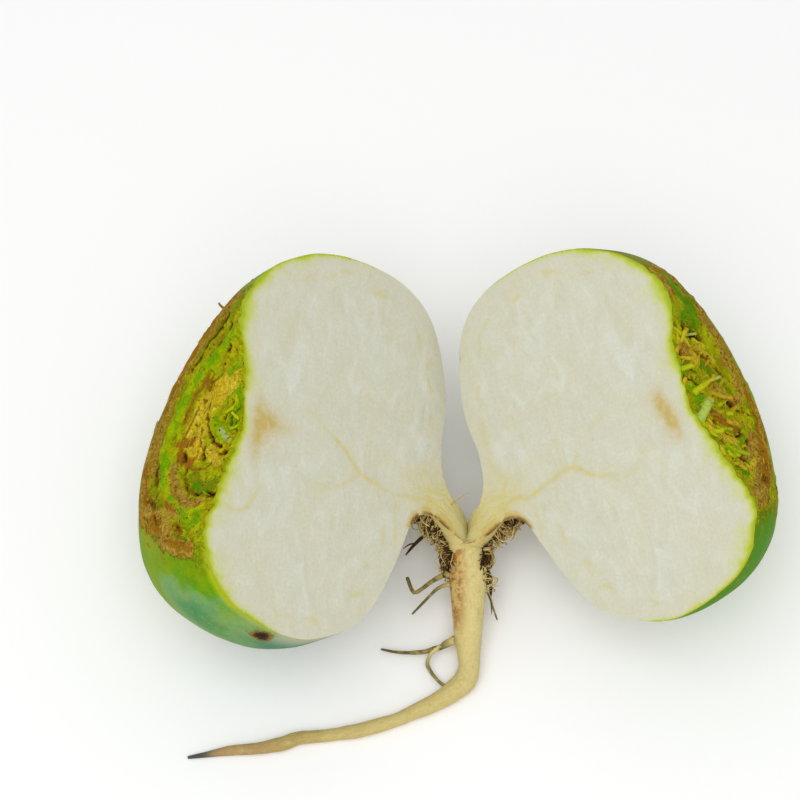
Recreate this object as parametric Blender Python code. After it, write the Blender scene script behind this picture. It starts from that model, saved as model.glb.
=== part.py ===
"""A turnip split from crown to neck and opened like a book: two halves on one tap root.

Metres, +Z up, standing on z = 0. Lengths below are millimetres until finish() scales them.
Each half has its own flat frame in the plane of its cut: "crown" runs from the neck to the
leaf crown, "across" runs over the width, and "facing" points out of the cut.
"""

import math
import random

import bmesh
import bpy
import numpy as np

MM = 0.001
STAND = np.array([-14.3, 16.5, 0.0])  # brings the middle of the box over the origin

# Outline of the cut, crown centre to neck: (crown, across) of its upper and its lower edge
OUTLINE = np.array([
    [(30.5, 0.0), (30.5, 0.0)],
    [(30.6, 6.0), (32.0, -7.0)],
    [(32.0, 16.0), (35.0, -18.0)],
    [(34.2, 27.0), (36.8, -29.0)],
    [(30.5, 37.0), (32.5, -38.5)],
    [(22.0, 44.8), (22.5, -44.8)],
    [(8.5, 50.2), (7.5, -46.8)],
    [(-8.8, 50.0), (-6.0, -41.5)],
    [(-22.5, 42.0), (-13.5, -32.5)],
    [(-28.9, 25.0), (-18.7, -20.0)],
    [(-29.0, 12.0), (-21.5, -12.0)],
    [(-30.3, 4.0), (-24.5, -8.3)],
    [(-33.0, -0.6), (-28.6, -7.4)],
])
CROWN_ENDS = 4.0  # the outline point at which the finer rows over the leaf scars end
SCARS_END = 5.0
POINT_GAP = 9.25  # outline points of the crown lie about this far apart
CROWN_ROWS = 16
BODY_ROWS = 21
NECK_ROWS = 8
ARC_STEPS = 24
ROUND_FROM, ROUND_FULL = 5.0, 26.0  # half-widths over which the back leaves a plain half circle

# How each half lies: the way its cut looks (degrees), its turn in that plane, its middle,
# its size, and how its back departs from a half circle.
HALVES = {
    "left": dict(
        hand=1, azimuth=-15.6, tilt=49.7, roll=13.4, middle=(-13.4, -13.0, 41.6), size=1.01,
        swell=(0.09, 0.065, 0.035), sag=-0.06, lean=-0.10, twist=-0.06,
    ),
    "right": dict(
        hand=-1, azimuth=-148.7, tilt=49.7, roll=17.8, middle=(45.4, -11.0, 40.9), size=0.99,
        swell=(0.10, 0.0, 0.02), sag=0.047, lean=-0.105, twist=0.0,
    ),
}

# The joint where both necks run into the root, and the root's way from there along the surface
JOINT = np.array([16.7, -24.0, 13.6])
ROOT_WAY = np.array([0.0, -0.92, -0.39])
SPLIT_TURN = 9.0  # degrees that the split is turned about the root, off upright
NECK_AT_JOINT = 5.2
NECK_IN_ROOT = 5.0
NECK_WAIST = 0.2  # how much narrower the neck is halfway
NECK_LAP = 0.35  # each neck passes the split by this much, so that they join
ROOT = [  # x, y, z, radius
    (16.8, -25.0, 13.3, 4.5),
    (16.9, -26.6, 12.9, 5.0),
    (17.0, -29.0, 12.2, 5.0),
    (17.1, -32.5, 11.1, 4.6),
    (17.1, -37.5, 9.4, 4.15),
    (17.1, -43.0, 7.2, 3.7),
    (17.0, -48.0, 5.2, 3.2),
    (17.2, -52.5, 3.5, 2.8),
    (16.0, -56.2, 2.7, 2.75),
    (13.0, -58.7, 2.4, 2.55),
    (9.0, -61.2, 2.1, 2.25),
    (4.5, -63.4, 1.8, 1.95),
    (-2.0, -66.2, 1.65, 1.75),
    (-10.0, -68.5, 1.65, 1.8),
    (-18.0, -69.8, 1.4, 1.55),
    (-25.0, -70.5, 1.5, 1.6),
    (-29.0, -72.0, 1.55, 1.7),
    (-35.0, -73.1, 1.35, 1.45),
    (-42.0, -73.6, 1.1, 1.2),
    (-48.0, -74.5, 0.65, 0.7),
    (-52.0, -75.1, 0.45, 0.4),
]
ROOT_STEP = 3.4
ROOT_SIDES = 11

# Side roots: points x, y, z, then the thickness at the root and at the tip
ROOTLETS = [
    ([(17.0, -45.6, 6.0), (14.2, -46.0, 5.4), (11.9, -46.7, 4.6), (9.2, -47.8, 3.9), (4.6, -48.4, 2.8),
      (-0.8, -47.9, 1.8), (-4.6, -46.9, 1.2)], 3.4, 0.8),
    ([(10.4, -47.3, 4.2), (8.4, -48.4, 3.9), (7.2, -50.0, 3.2), (6.9, -51.7, 2.2), (8.3, -53.9, 1.5),
      (10.0, -56.0, 1.7), (12.2, -57.6, 2.0)], 1.5, 0.9),
    ([(16.5, -31.0, 12.0), (13.2, -31.0, 12.4), (11.0, -31.4, 12.4), (8.0, -32.8, 11.4), (4.3, -35.0, 9.8),
      (3.2, -34.6, 9.5), (2.5, -33.0, 9.5), (1.9, -31.2, 9.8)], 2.3, 0.85),
    ([(15.5, -33.0, 10.2), (12.0, -33.2, 10.2), (9.5, -33.8, 9.4), (6.3, -36.4, 7.6), (3.2, -39.2, 6.0)], 1.7, 0.8),
    ([(20.0, -33.0, 10.5), (22.4, -35.4, 8.6), (23.4, -38.2, 7.2), (24.4, -40.8, 6.0)], 1.2, 0.8),
]
ROOTLET_SIDES = 6
ROOTLET_STEP = 1.6

# Short hair roots under the necks, on both shoulders of the root
TUFT_SEED = 11
TUFTS = [  # inside the neck or root that it grows from, the way it hangs, its spread, how many
    ((11.0, -17.5, 17.5), (-0.45, -0.60, -0.66), (2.6, 2.2, 1.6), 9),
    ((16.5, -28.0, 12.3), (-0.85, -0.30, -0.40), (1.0, 3.5, 1.5), 6),
    ((22.5, -18.5, 18.0), (0.40, -0.65, -0.64), (2.6, 2.2, 1.6), 9),
    ((18.0, -28.5, 12.0), (0.85, -0.35, -0.40), (1.0, 4.0, 1.5), 6),
]
HAIR_THICK = 0.9
HAIR_LONG = 9.5

# Cut leaf stalks around the middle of the crown, placed as the leaves grew, in a spiral
STALK_SEED = 4
STALKS = 44
STALK_FROM, STALK_STEP = 2.6, 2.25  # distance from the middle grows with the root of the count
STALK_WIDE = 2.3
STALK_LONG = {"left": (0.8, 2.2), "right": (2.5, 6.0)}  # worn nearly flush on the left half
GOLDEN_ANGLE = 137.508
STALK_SIDES = 5
STALK_CLEAR = 0.28  # radians beside the cut that are free of stalks

# Rings that the older leaves left round the crown
SCAR_HEIGHT = 0.7
SCAR_PITCH = 6.5
SCAR_INNER, SCAR_OUTER = 7.0, 33.0

SKIN_COLOUR = (0.62, 0.68, 0.32, 1.0)
SKIN_ROUGHNESS = 0.45


def clear_scene():
    for obj in list(bpy.data.objects):
        bpy.data.objects.remove(obj, do_unlink=True)


def unit(vector):
    vector = np.asarray(vector, float)
    return vector / np.linalg.norm(vector)


def ease(value, low, high):
    share = np.clip((value - low) / (high - low), 0.0, 1.0)
    return share * share * (3.0 - 2.0 * share)


def smooth_curve(points, at):
    """Catmull-Rom through the points, read at a place counted in points."""
    last = len(points) - 1
    index = min(int(at), last - 1)
    f = at - index
    before, start = points[max(index - 1, 0)], points[index]
    end, after = points[index + 1], points[min(index + 2, last)]
    return 0.5 * (
        2.0 * start
        + (end - before) * f
        + (2.0 * before - 5.0 * start + 4.0 * end - after) * f**2
        + (3.0 * start - before - 3.0 * end + after) * f**3
    )


def half_frame(half):
    """The directions crown, across and facing of a half, in the part's own axes."""
    azimuth, tilt, roll = (math.radians(half[key]) for key in ("azimuth", "tilt", "roll"))
    facing = np.array([
        math.cos(tilt) * math.cos(azimuth),
        math.cos(tilt) * math.sin(azimuth),
        math.sin(tilt),
    ])
    uphill = np.array([
        -math.sin(tilt) * math.cos(azimuth),
        -math.sin(tilt) * math.sin(azimuth),
        math.cos(tilt),
    ])
    level = half["hand"] * np.cross(facing, uphill)
    crown = math.cos(roll) * uphill + math.sin(roll) * level
    across = math.sin(roll) * uphill - math.cos(roll) * level
    return crown, across, facing


def scar_ring(width, angle):
    """Height of the leaf scars at a distance from the crown's middle."""
    window = ease(width, SCAR_INNER, SCAR_INNER + 4.0) * (1.0 - ease(width, SCAR_OUTER - 5.0, SCAR_OUTER))
    wander = 1.4 * math.sin(3.0 * angle + 0.6) + 0.9 * math.sin(7.0 * angle)
    return SCAR_HEIGHT * window * math.sin(2.0 * math.pi * width / SCAR_PITCH + wander)


def body_point(half, at, angle):
    """A point of the skin in the half's flat frame. At angle 0 and pi it lies on the cut."""
    upper, lower = smooth_curve(OUTLINE, at) * half["size"]
    middle, reach = (upper + lower) / 2.0, (upper - lower) / 2.0
    width = float(np.linalg.norm(reach))
    depth = math.sin(angle)
    grip = ease(width, ROUND_FROM, ROUND_FULL)
    toward_crown = middle[0] / math.hypot(middle[0], width)
    plain, lengthwise, ends = half["swell"]
    swell = plain + lengthwise * toward_crown + ends * (2.0 * toward_crown**2 - 1.0)
    grow = 1.0 + grip * (depth * swell + half["sag"] * math.sin(2.0 * angle))
    point = middle + reach * math.cos(angle) * grow
    point[0] *= 1.0 + grip * toward_crown * (depth * half["lean"] + math.sin(2.0 * angle) * half["twist"])
    if at < SCARS_END:
        point[0] += scar_ring(width, angle) * ease(depth, 0.0, 0.25)
    return np.array([point[0], point[1], -width * depth * grow])


def body_rows(half):
    """Arcs of the skin from the crown's middle to the neck, in the part's own axes."""
    axes = np.array(half_frame(half))
    fine = np.linspace(0.0, CROWN_ENDS, CROWN_ROWS + 1)[1:]
    rest = np.linspace(CROWN_ENDS, len(OUTLINE) - 1.0, BODY_ROWS + 1)[1:]
    angles = np.linspace(0.0, math.pi, ARC_STEPS + 1)
    return [
        np.array([body_point(half, at, angle) @ axes + half["middle"] for angle in angles])
        for at in np.concatenate([fine, rest])
    ]


def split_facing(hand):
    """The way a neck's cut looks at the joint: the split stands across the root's way."""
    turn = math.radians(SPLIT_TURN)
    up = unit(np.cross(ROOT_WAY, (1.0, 0.0, 0.0)))
    return hand * (math.cos(turn) * np.array([1.0, 0.0, 0.0]) + math.sin(turn) * up)


def neck_rows(half):
    """Half circles from the end of the body, turning as they go, into the root."""
    crown, across, facing = half_frame(half)
    upper, lower = OUTLINE[-1] * half["size"]
    middle, reach = (upper + lower) / 2.0, (upper - lower) / 2.0
    width = float(np.linalg.norm(reach))
    start = half["middle"] + middle[0] * crown + middle[1] * across
    leave = unit(-reach[1] * crown + reach[0] * across)
    hand = half["hand"]
    facing_end = split_facing(hand)
    end = JOINT + facing_end * NECK_LAP
    pull = np.linalg.norm(end - start)
    angles = np.linspace(0.0, math.pi, ARC_STEPS + 1)

    def arc(centre, way, looks, radius):
        looks = unit(looks - way * np.dot(looks, way))
        side = hand * np.cross(looks, way)
        return np.array([centre + radius * (math.cos(a) * side - math.sin(a) * looks) for a in angles])

    rows = []
    for step in range(1, NECK_ROWS + 1):
        s = step / NECK_ROWS
        centre = (
            (2 * s**3 - 3 * s**2 + 1) * start
            + (s**3 - 2 * s**2 + s) * pull * leave
            + (3 * s**2 - 2 * s**3) * end
            + (s**3 - s**2) * pull * ROOT_WAY
        )
        way = unit(
            (6 * s**2 - 6 * s) * (start - end)
            + (3 * s**2 - 4 * s + 1) * pull * leave
            + (3 * s**2 - 2 * s) * pull * ROOT_WAY
        )
        share = ease(s, 0.0, 1.0)
        radius = width + (NECK_AT_JOINT - width) * s**2 - NECK_WAIST * math.sin(math.pi * s)
        rows.append(arc(centre, way, facing + (facing_end - facing) * share, radius))
    for depth, shrink in ((0.5, 0.95), (1.0, 0.8)):
        centre = end + ROOT_WAY * NECK_IN_ROOT * depth + facing_end * NECK_LAP * depth
        rows.append(arc(centre, ROOT_WAY, facing_end, NECK_AT_JOINT * shrink))
    return rows


def new_mesh_object(name, bm):
    bmesh.ops.recalc_face_normals(bm, faces=bm.faces[:])
    mesh = bpy.data.meshes.new(name)
    bm.to_mesh(mesh)
    bm.free()
    obj = bpy.data.objects.new(name, mesh)
    bpy.context.scene.collection.objects.link(obj)
    return obj


def make_half(side):
    """One half and its neck: a skin of arcs, a flat cut, and a cut strip along the neck."""
    half = HALVES[side]
    crown, _, _ = half_frame(half)
    body, neck = body_rows(half), neck_rows(half)
    bm = bmesh.new()
    tip = bm.verts.new(half["middle"] + crown * OUTLINE[0][0][0] * half["size"])
    rows = [[bm.verts.new(point) for point in row] for row in body + neck]
    for left, right in zip(rows[0], rows[0][1:]):
        bm.faces.new((tip, left, right))
    for above, below in zip(rows, rows[1:]):
        for j in range(ARC_STEPS):
            bm.faces.new((above[j], below[j], below[j + 1], above[j + 1]))
    cut = [row[0] for row in rows[: len(body)]] + [row[-1] for row in reversed(rows[: len(body)])]
    bm.faces.new([tip] + cut)
    for above, below in zip(rows[len(body) - 1 :], rows[len(body) :]):
        bm.faces.new((above[0], above[-1], below[-1], below[0]))
    bm.faces.new(rows[-1])
    return new_mesh_object(side, bm)


def make_tube(name, centres, radii, sides):
    """A closed tube with pointed ends along a line of centres."""
    centres = [np.asarray(c, float) for c in centres]
    bm = bmesh.new()
    across = None
    rings = []
    for i, (centre, radius) in enumerate(zip(centres, radii)):
        way = unit(centres[min(i + 1, len(centres) - 1)] - centres[max(i - 1, 0)])
        if across is None:
            across = np.cross(way, (0.0, 0.0, 1.0) if abs(way[2]) < 0.9 else (1.0, 0.0, 0.0))
        across = unit(across - way * np.dot(across, way))
        upward = np.cross(across, way)
        turns = [2.0 * math.pi * (k + 0.5) / sides for k in range(sides)]
        rings.append([
            bm.verts.new(centre + radius * (math.cos(t) * across + math.sin(t) * upward)) for t in turns
        ])
    for ring, onward in zip(rings, rings[1:]):
        for k in range(sides):
            nxt = (k + 1) % sides
            bm.faces.new((ring[k], ring[nxt], onward[nxt], onward[k]))
    ends = ((rings[0], centres[0] - centres[1], radii[0]), (rings[-1], centres[-1] - centres[-2], radii[-1]))
    for index, (ring, outward, radius) in enumerate(ends):
        tip = bm.verts.new(centres[-index] + unit(outward) * radius * 0.5)
        for k in range(sides):
            bm.faces.new((ring[k], ring[(k + 1) % sides], tip))
    return new_mesh_object(name, bm)


def evenly(points, step):
    """The smooth curve through the points, read about every step along it."""
    points = np.array(points, float)
    length = np.linalg.norm(np.diff(points[:, :3], axis=0), axis=1)
    count = max(int(round(length.sum() / step)), 3)
    walked = np.concatenate([[0.0], np.cumsum(length)])
    places = np.interp(np.linspace(0.0, walked[-1], count + 1), walked, np.arange(len(points)))
    return np.array([smooth_curve(points, place) for place in places])


def make_root():
    line = evenly(ROOT, ROOT_STEP)
    return make_tube("root", line[:, :3], line[:, 3], ROOT_SIDES)


def make_rootlets():
    made = []
    for number, (points, thick, thin) in enumerate(ROOTLETS):
        line = evenly(points, ROOTLET_STEP)
        radii = np.linspace(thick / 2.0, thin / 2.0, len(line))
        made.append(make_tube(f"rootlet_{number}", line, radii, ROOTLET_SIDES))
    return made


def make_tufts():
    rng = random.Random(TUFT_SEED)
    made = []
    for number, (middle, way, spread, count) in enumerate(TUFTS):
        for hair in range(count):
            foot = np.array(middle) + np.array([rng.uniform(-1.0, 1.0) * s for s in spread])
            bend = np.array([rng.uniform(-0.4, 0.4) for _ in range(3)])
            length = HAIR_LONG * rng.uniform(0.75, 1.0)
            out = unit(np.array(way) + bend)
            line = [foot, foot + out * length * 0.6, foot + unit(out + bend) * length]
            radii = [HAIR_THICK / 2.0, HAIR_THICK / 2.0, 0.35]
            made.append(make_tube(f"hair_{number}_{hair}", line, radii, 4))
    return made


def make_stalks():
    """Stubs of the cut leaves. A stalk grows from the half that its place in the spiral falls on."""
    rng = random.Random(STALK_SEED)
    made = []
    for number in range(STALKS):
        turn = math.radians(GOLDEN_ANGLE * number) % (2.0 * math.pi)
        width = STALK_FROM + STALK_STEP * math.sqrt(number)
        side = "left" if turn < math.pi else "right"
        angle = turn if side == "left" else turn - math.pi
        long = rng.uniform(*STALK_LONG[side])
        lean = np.array([rng.uniform(-0.25, 0.25) for _ in range(3)])
        if not STALK_CLEAR < angle < math.pi - STALK_CLEAR:
            continue
        half = HALVES[side]
        axes = np.array(half_frame(half))
        foot = body_point(half, width / POINT_GAP, angle)
        out = unit(np.array([1.0, 0.35 * math.cos(angle), -0.35 * math.sin(angle)]) + lean)
        world = [(foot + out * k) @ axes + half["middle"] for k in (-3.0, 0.45 * long, long)]
        radii = [STALK_WIDE * 0.55, STALK_WIDE * 0.5, STALK_WIDE * 0.42]
        made.append(make_tube(f"stalk_{number}", world, radii, STALK_SIDES))
    return made


def keep_outer_shell(mesh):
    """Fill the pockets that the join seals between roots: only the largest shell stays."""
    bm = bmesh.new()
    bm.from_mesh(mesh)
    waiting = set(bm.faces)
    shells = []
    while waiting:
        edge_of_shell = [waiting.pop()]
        shell = []
        while edge_of_shell:
            face = edge_of_shell.pop()
            shell.append(face)
            near = {other for edge in face.edges for other in edge.link_faces} & waiting
            waiting -= near
            edge_of_shell.extend(near)
        shells.append(shell)
    shells.sort(key=len)
    scraps = [face for shell in shells[:-1] for face in shell]
    bmesh.ops.delete(bm, geom=scraps, context="FACES")
    bm.to_mesh(mesh)
    bm.free()


def join(base, pieces):
    """One Boolean union of everything that grew together, applied."""
    bag = bpy.data.collections.new("grown_together")
    for piece in pieces:
        bag.objects.link(piece)
    union = base.modifiers.new("grow", "BOOLEAN")
    union.operation = "UNION"
    union.operand_type = "COLLECTION"
    union.collection = bag
    union.solver = "MANIFOLD"
    graph = bpy.context.evaluated_depsgraph_get()
    joined = bpy.data.meshes.new_from_object(base.evaluated_get(graph))
    base.modifiers.clear()
    base.data = joined
    keep_outer_shell(joined)
    for piece in pieces:
        bpy.data.objects.remove(piece, do_unlink=True)
    bpy.data.collections.remove(bag)


def finish(obj):
    """Flatten what presses on the surface, centre the part, scale it to metres and colour it."""
    for vertex in obj.data.vertices:
        vertex.co.z = max(vertex.co.z, 0.0)
        vertex.co = (np.array(vertex.co) + STAND) * MM
    obj.name = obj.data.name = "turnip"
    obj.data.shade_smooth()
    obj.data.set_sharp_from_angle(angle=math.radians(45.0))
    material = bpy.data.materials.new("turnip_flesh_and_skin")
    material.use_nodes = True
    shader = material.node_tree.nodes["Principled BSDF"]
    shader.inputs["Base Color"].default_value = SKIN_COLOUR
    shader.inputs["Roughness"].default_value = SKIN_ROUGHNESS
    obj.data.materials.clear()
    obj.data.materials.append(material)


def main():
    clear_scene()
    turnip = make_half("left")
    grown = [make_half("right"), make_root()] + make_rootlets() + make_tufts() + make_stalks()
    join(turnip, grown)
    finish(turnip)


main()
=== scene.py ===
import math
import random

import bmesh
import bpy
import numpy as np
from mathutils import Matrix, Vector, kdtree
from mathutils.geometry import delaunay_2d_cdt


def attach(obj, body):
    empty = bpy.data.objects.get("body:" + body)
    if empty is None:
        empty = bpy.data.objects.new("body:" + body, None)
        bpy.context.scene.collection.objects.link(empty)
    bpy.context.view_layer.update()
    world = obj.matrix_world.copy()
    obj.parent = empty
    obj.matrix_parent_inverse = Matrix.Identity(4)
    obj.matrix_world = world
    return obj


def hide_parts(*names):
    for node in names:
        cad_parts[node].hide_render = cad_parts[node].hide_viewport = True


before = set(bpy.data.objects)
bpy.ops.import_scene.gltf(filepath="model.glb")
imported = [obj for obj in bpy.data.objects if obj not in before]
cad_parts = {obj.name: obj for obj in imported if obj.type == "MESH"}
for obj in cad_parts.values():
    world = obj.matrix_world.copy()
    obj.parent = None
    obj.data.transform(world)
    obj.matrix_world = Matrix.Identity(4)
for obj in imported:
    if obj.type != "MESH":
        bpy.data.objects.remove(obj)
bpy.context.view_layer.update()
mm = 0.001
stand = np.array([-14.3, 16.5, 0.0])  # from the point the halves are placed by to the middle of the box


# ---- small helpers

def unit(vector):
    vector = np.asarray(vector, float)
    return vector / np.linalg.norm(vector)


def ease(value, low, high):
    share = np.clip((value - low) / (high - low), 0.0, 1.0)
    return share * share * (3.0 - 2.0 * share)


def bell(value, middle, wide):
    return np.exp(-(((value - middle) / wide) ** 2))


def cloud(points, size, seed=0):
    # soft random field from -1 to 1, with lumps about size across
    spot = np.asarray(points, float) / size
    cell = np.floor(spot).astype(np.int64)
    part = spot - cell
    part = part * part * (3.0 - 2.0 * part)
    total = np.zeros(spot.shape[:-1])
    for corner in range(8):
        step = np.array([corner & 1, corner >> 1 & 1, corner >> 2 & 1])
        key = (cell + step) @ np.array([73856093, 19349663, 83492791]) + seed * 7919
        key = ((key ^ (key >> 13)) * 1274126177) & 0xFFFFFFFF
        key = ((key ^ (key >> 15)) * 668265263) & 0xFFFFFFFF
        share = np.prod(np.where(step, part, 1.0 - part), axis=-1)
        total += share * (((key ^ (key >> 16)) & 0xFFFF) / 32767.5 - 1.0)
    return total


def clouds(points, size, seed=0, layers=3):
    return sum(cloud(points, size / 2**k, seed + 31 * k) * 0.5**k for k in range(layers))


def smoothCurve(points, places):
    # Catmull-Rom through the points, read at places counted in points
    points, places = np.asarray(points, float), np.atleast_1d(np.asarray(places, float))
    last = len(points) - 1
    index = np.minimum(places.astype(int), last - 1)
    f = (places - index).reshape((-1,) + (1,) * (points.ndim - 1))
    before, start = points[np.maximum(index - 1, 0)], points[index]
    end, after = points[index + 1], points[np.minimum(index + 2, last)]
    return 0.5 * (
        2.0 * start
        + (end - before) * f
        + (2.0 * before - 5.0 * start + 4.0 * end - after) * f**2
        + (3.0 * start - before - 3.0 * end + after) * f**3
    )


def evenly(points, step):
    points = np.array(points, float)
    length = np.linalg.norm(np.diff(points[:, :3], axis=0), axis=1)
    walked = np.concatenate([[0.0], np.cumsum(length)])
    count = max(int(round(walked[-1] / step)), 3)
    return smoothCurve(points, np.interp(np.linspace(0.0, walked[-1], count + 1), walked, np.arange(len(points))))


def placed(points):
    # from millimetres round the joint to the part's own metres
    return (np.asarray(points, float) + stand) * mm


# ---- the two halves and the necks

turnip = dict(
    outline=[  # of the cut, crown to neck: (crown, across) of its upper and its lower edge
        [(30.5, 0.0), (30.5, 0.0)],
        [(30.6, 6.0), (32.0, -7.0)],
        [(32.0, 16.0), (35.0, -18.0)],
        [(34.2, 27.0), (36.8, -29.0)],
        [(30.5, 37.0), (32.5, -38.5)],
        [(22.0, 44.8), (22.5, -44.8)],
        [(8.5, 50.2), (7.5, -46.8)],
        [(-8.8, 50.0), (-6.0, -41.5)],
        [(-22.5, 42.0), (-13.5, -32.5)],
        [(-28.9, 25.0), (-18.7, -20.0)],
        [(-29.0, 12.0), (-21.5, -12.0)],
        [(-30.3, 4.0), (-24.5, -8.3)],
        [(-33.0, -0.6), (-28.6, -7.4)],
    ],
    halves=dict(  # the way each cut looks in degrees, its turn, its middle, its size and its back
        left=dict(
            hand=1, azimuth=-15.6, tilt=49.7, roll=13.4, middle=(-13.4, -13.0, 41.6), size=1.01,
            swell=(0.09, 0.065, 0.035), sag=-0.06, lean=-0.10, twist=-0.06,
        ),
        right=dict(
            hand=-1, azimuth=-148.7, tilt=49.7, roll=17.8, middle=(45.4, -11.0, 40.9), size=0.99,
            swell=(0.10, 0.0, 0.02), sag=0.047, lean=-0.105, twist=0.0,
        ),
    ),
    roundFrom=5.0,  # half-widths over which the back leaves a plain half circle
    roundFull=26.0,
    crownRows=70,
    crownEnd=4.0,  # outline point as far as the leaf scars reach
    bodyRows=104,
    arcs=140,
    cutStep=0.72,
    joint=(16.7, -24.0, 13.6),
    rootWay=(0.0, -0.92, -0.39),
    splitTurn=9.0,
    neckRows=34,
    neckColumns=12,
    neckAtJoint=5.2,
    neckInRoot=5.0,
    neckWaist=0.2,
    neckLap=0.35,
    neckLip=0.16,  # how far the skin bulges past the lower edge of the neck's cut
)
outline = np.array(turnip["outline"])
joint, rootWay = np.array(turnip["joint"]), np.array(turnip["rootWay"])
dataNames = ("across", "crown", "depth", "side", "rimGap", "meridian", "vein", "stain", "along", "around")


def halfFrame(half):
    # directions crown, across and facing of a half
    azimuth, tilt, roll = (math.radians(half[key]) for key in ("azimuth", "tilt", "roll"))
    facing = np.array([
        math.cos(tilt) * math.cos(azimuth), math.cos(tilt) * math.sin(azimuth), math.sin(tilt),
    ])
    uphill = np.array([
        -math.sin(tilt) * math.cos(azimuth), -math.sin(tilt) * math.sin(azimuth), math.cos(tilt),
    ])
    level = half["hand"] * np.cross(facing, uphill)
    crown = math.cos(roll) * uphill + math.sin(roll) * level
    across = math.sin(roll) * uphill - math.cos(roll) * level
    return crown, across, facing


def skinPoints(half, places, angles):
    # (crown, across, depth into the flesh) of the skin: at angle 0 and pi it lies on the cut
    upper = smoothCurve(outline[:, 0], places) * half["size"]
    lower = smoothCurve(outline[:, 1], places) * half["size"]
    middle, reach = (upper + lower) / 2.0, (upper - lower) / 2.0
    width = np.linalg.norm(reach, axis=1)[:, None]
    grip = ease(width, turnip["roundFrom"], turnip["roundFull"])
    toward = middle[:, :1] / np.hypot(middle[:, :1], width)
    depth, double = np.sin(angles)[None, :], np.sin(2.0 * angles)[None, :]
    plain, lengthwise, ends = half["swell"]
    swell = plain + lengthwise * toward + ends * (2.0 * toward**2 - 1.0)
    grow = 1.0 + grip * (depth * swell + half["sag"] * double)
    crown = middle[:, :1] + reach[:, :1] * np.cos(angles) * grow
    across = middle[:, 1:] + reach[:, 1:] * np.cos(angles) * grow
    crown = crown * (1.0 + grip * toward * (depth * half["lean"] + double * half["twist"]))
    return np.stack([crown, across, width * depth * grow], axis=-1)


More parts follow.
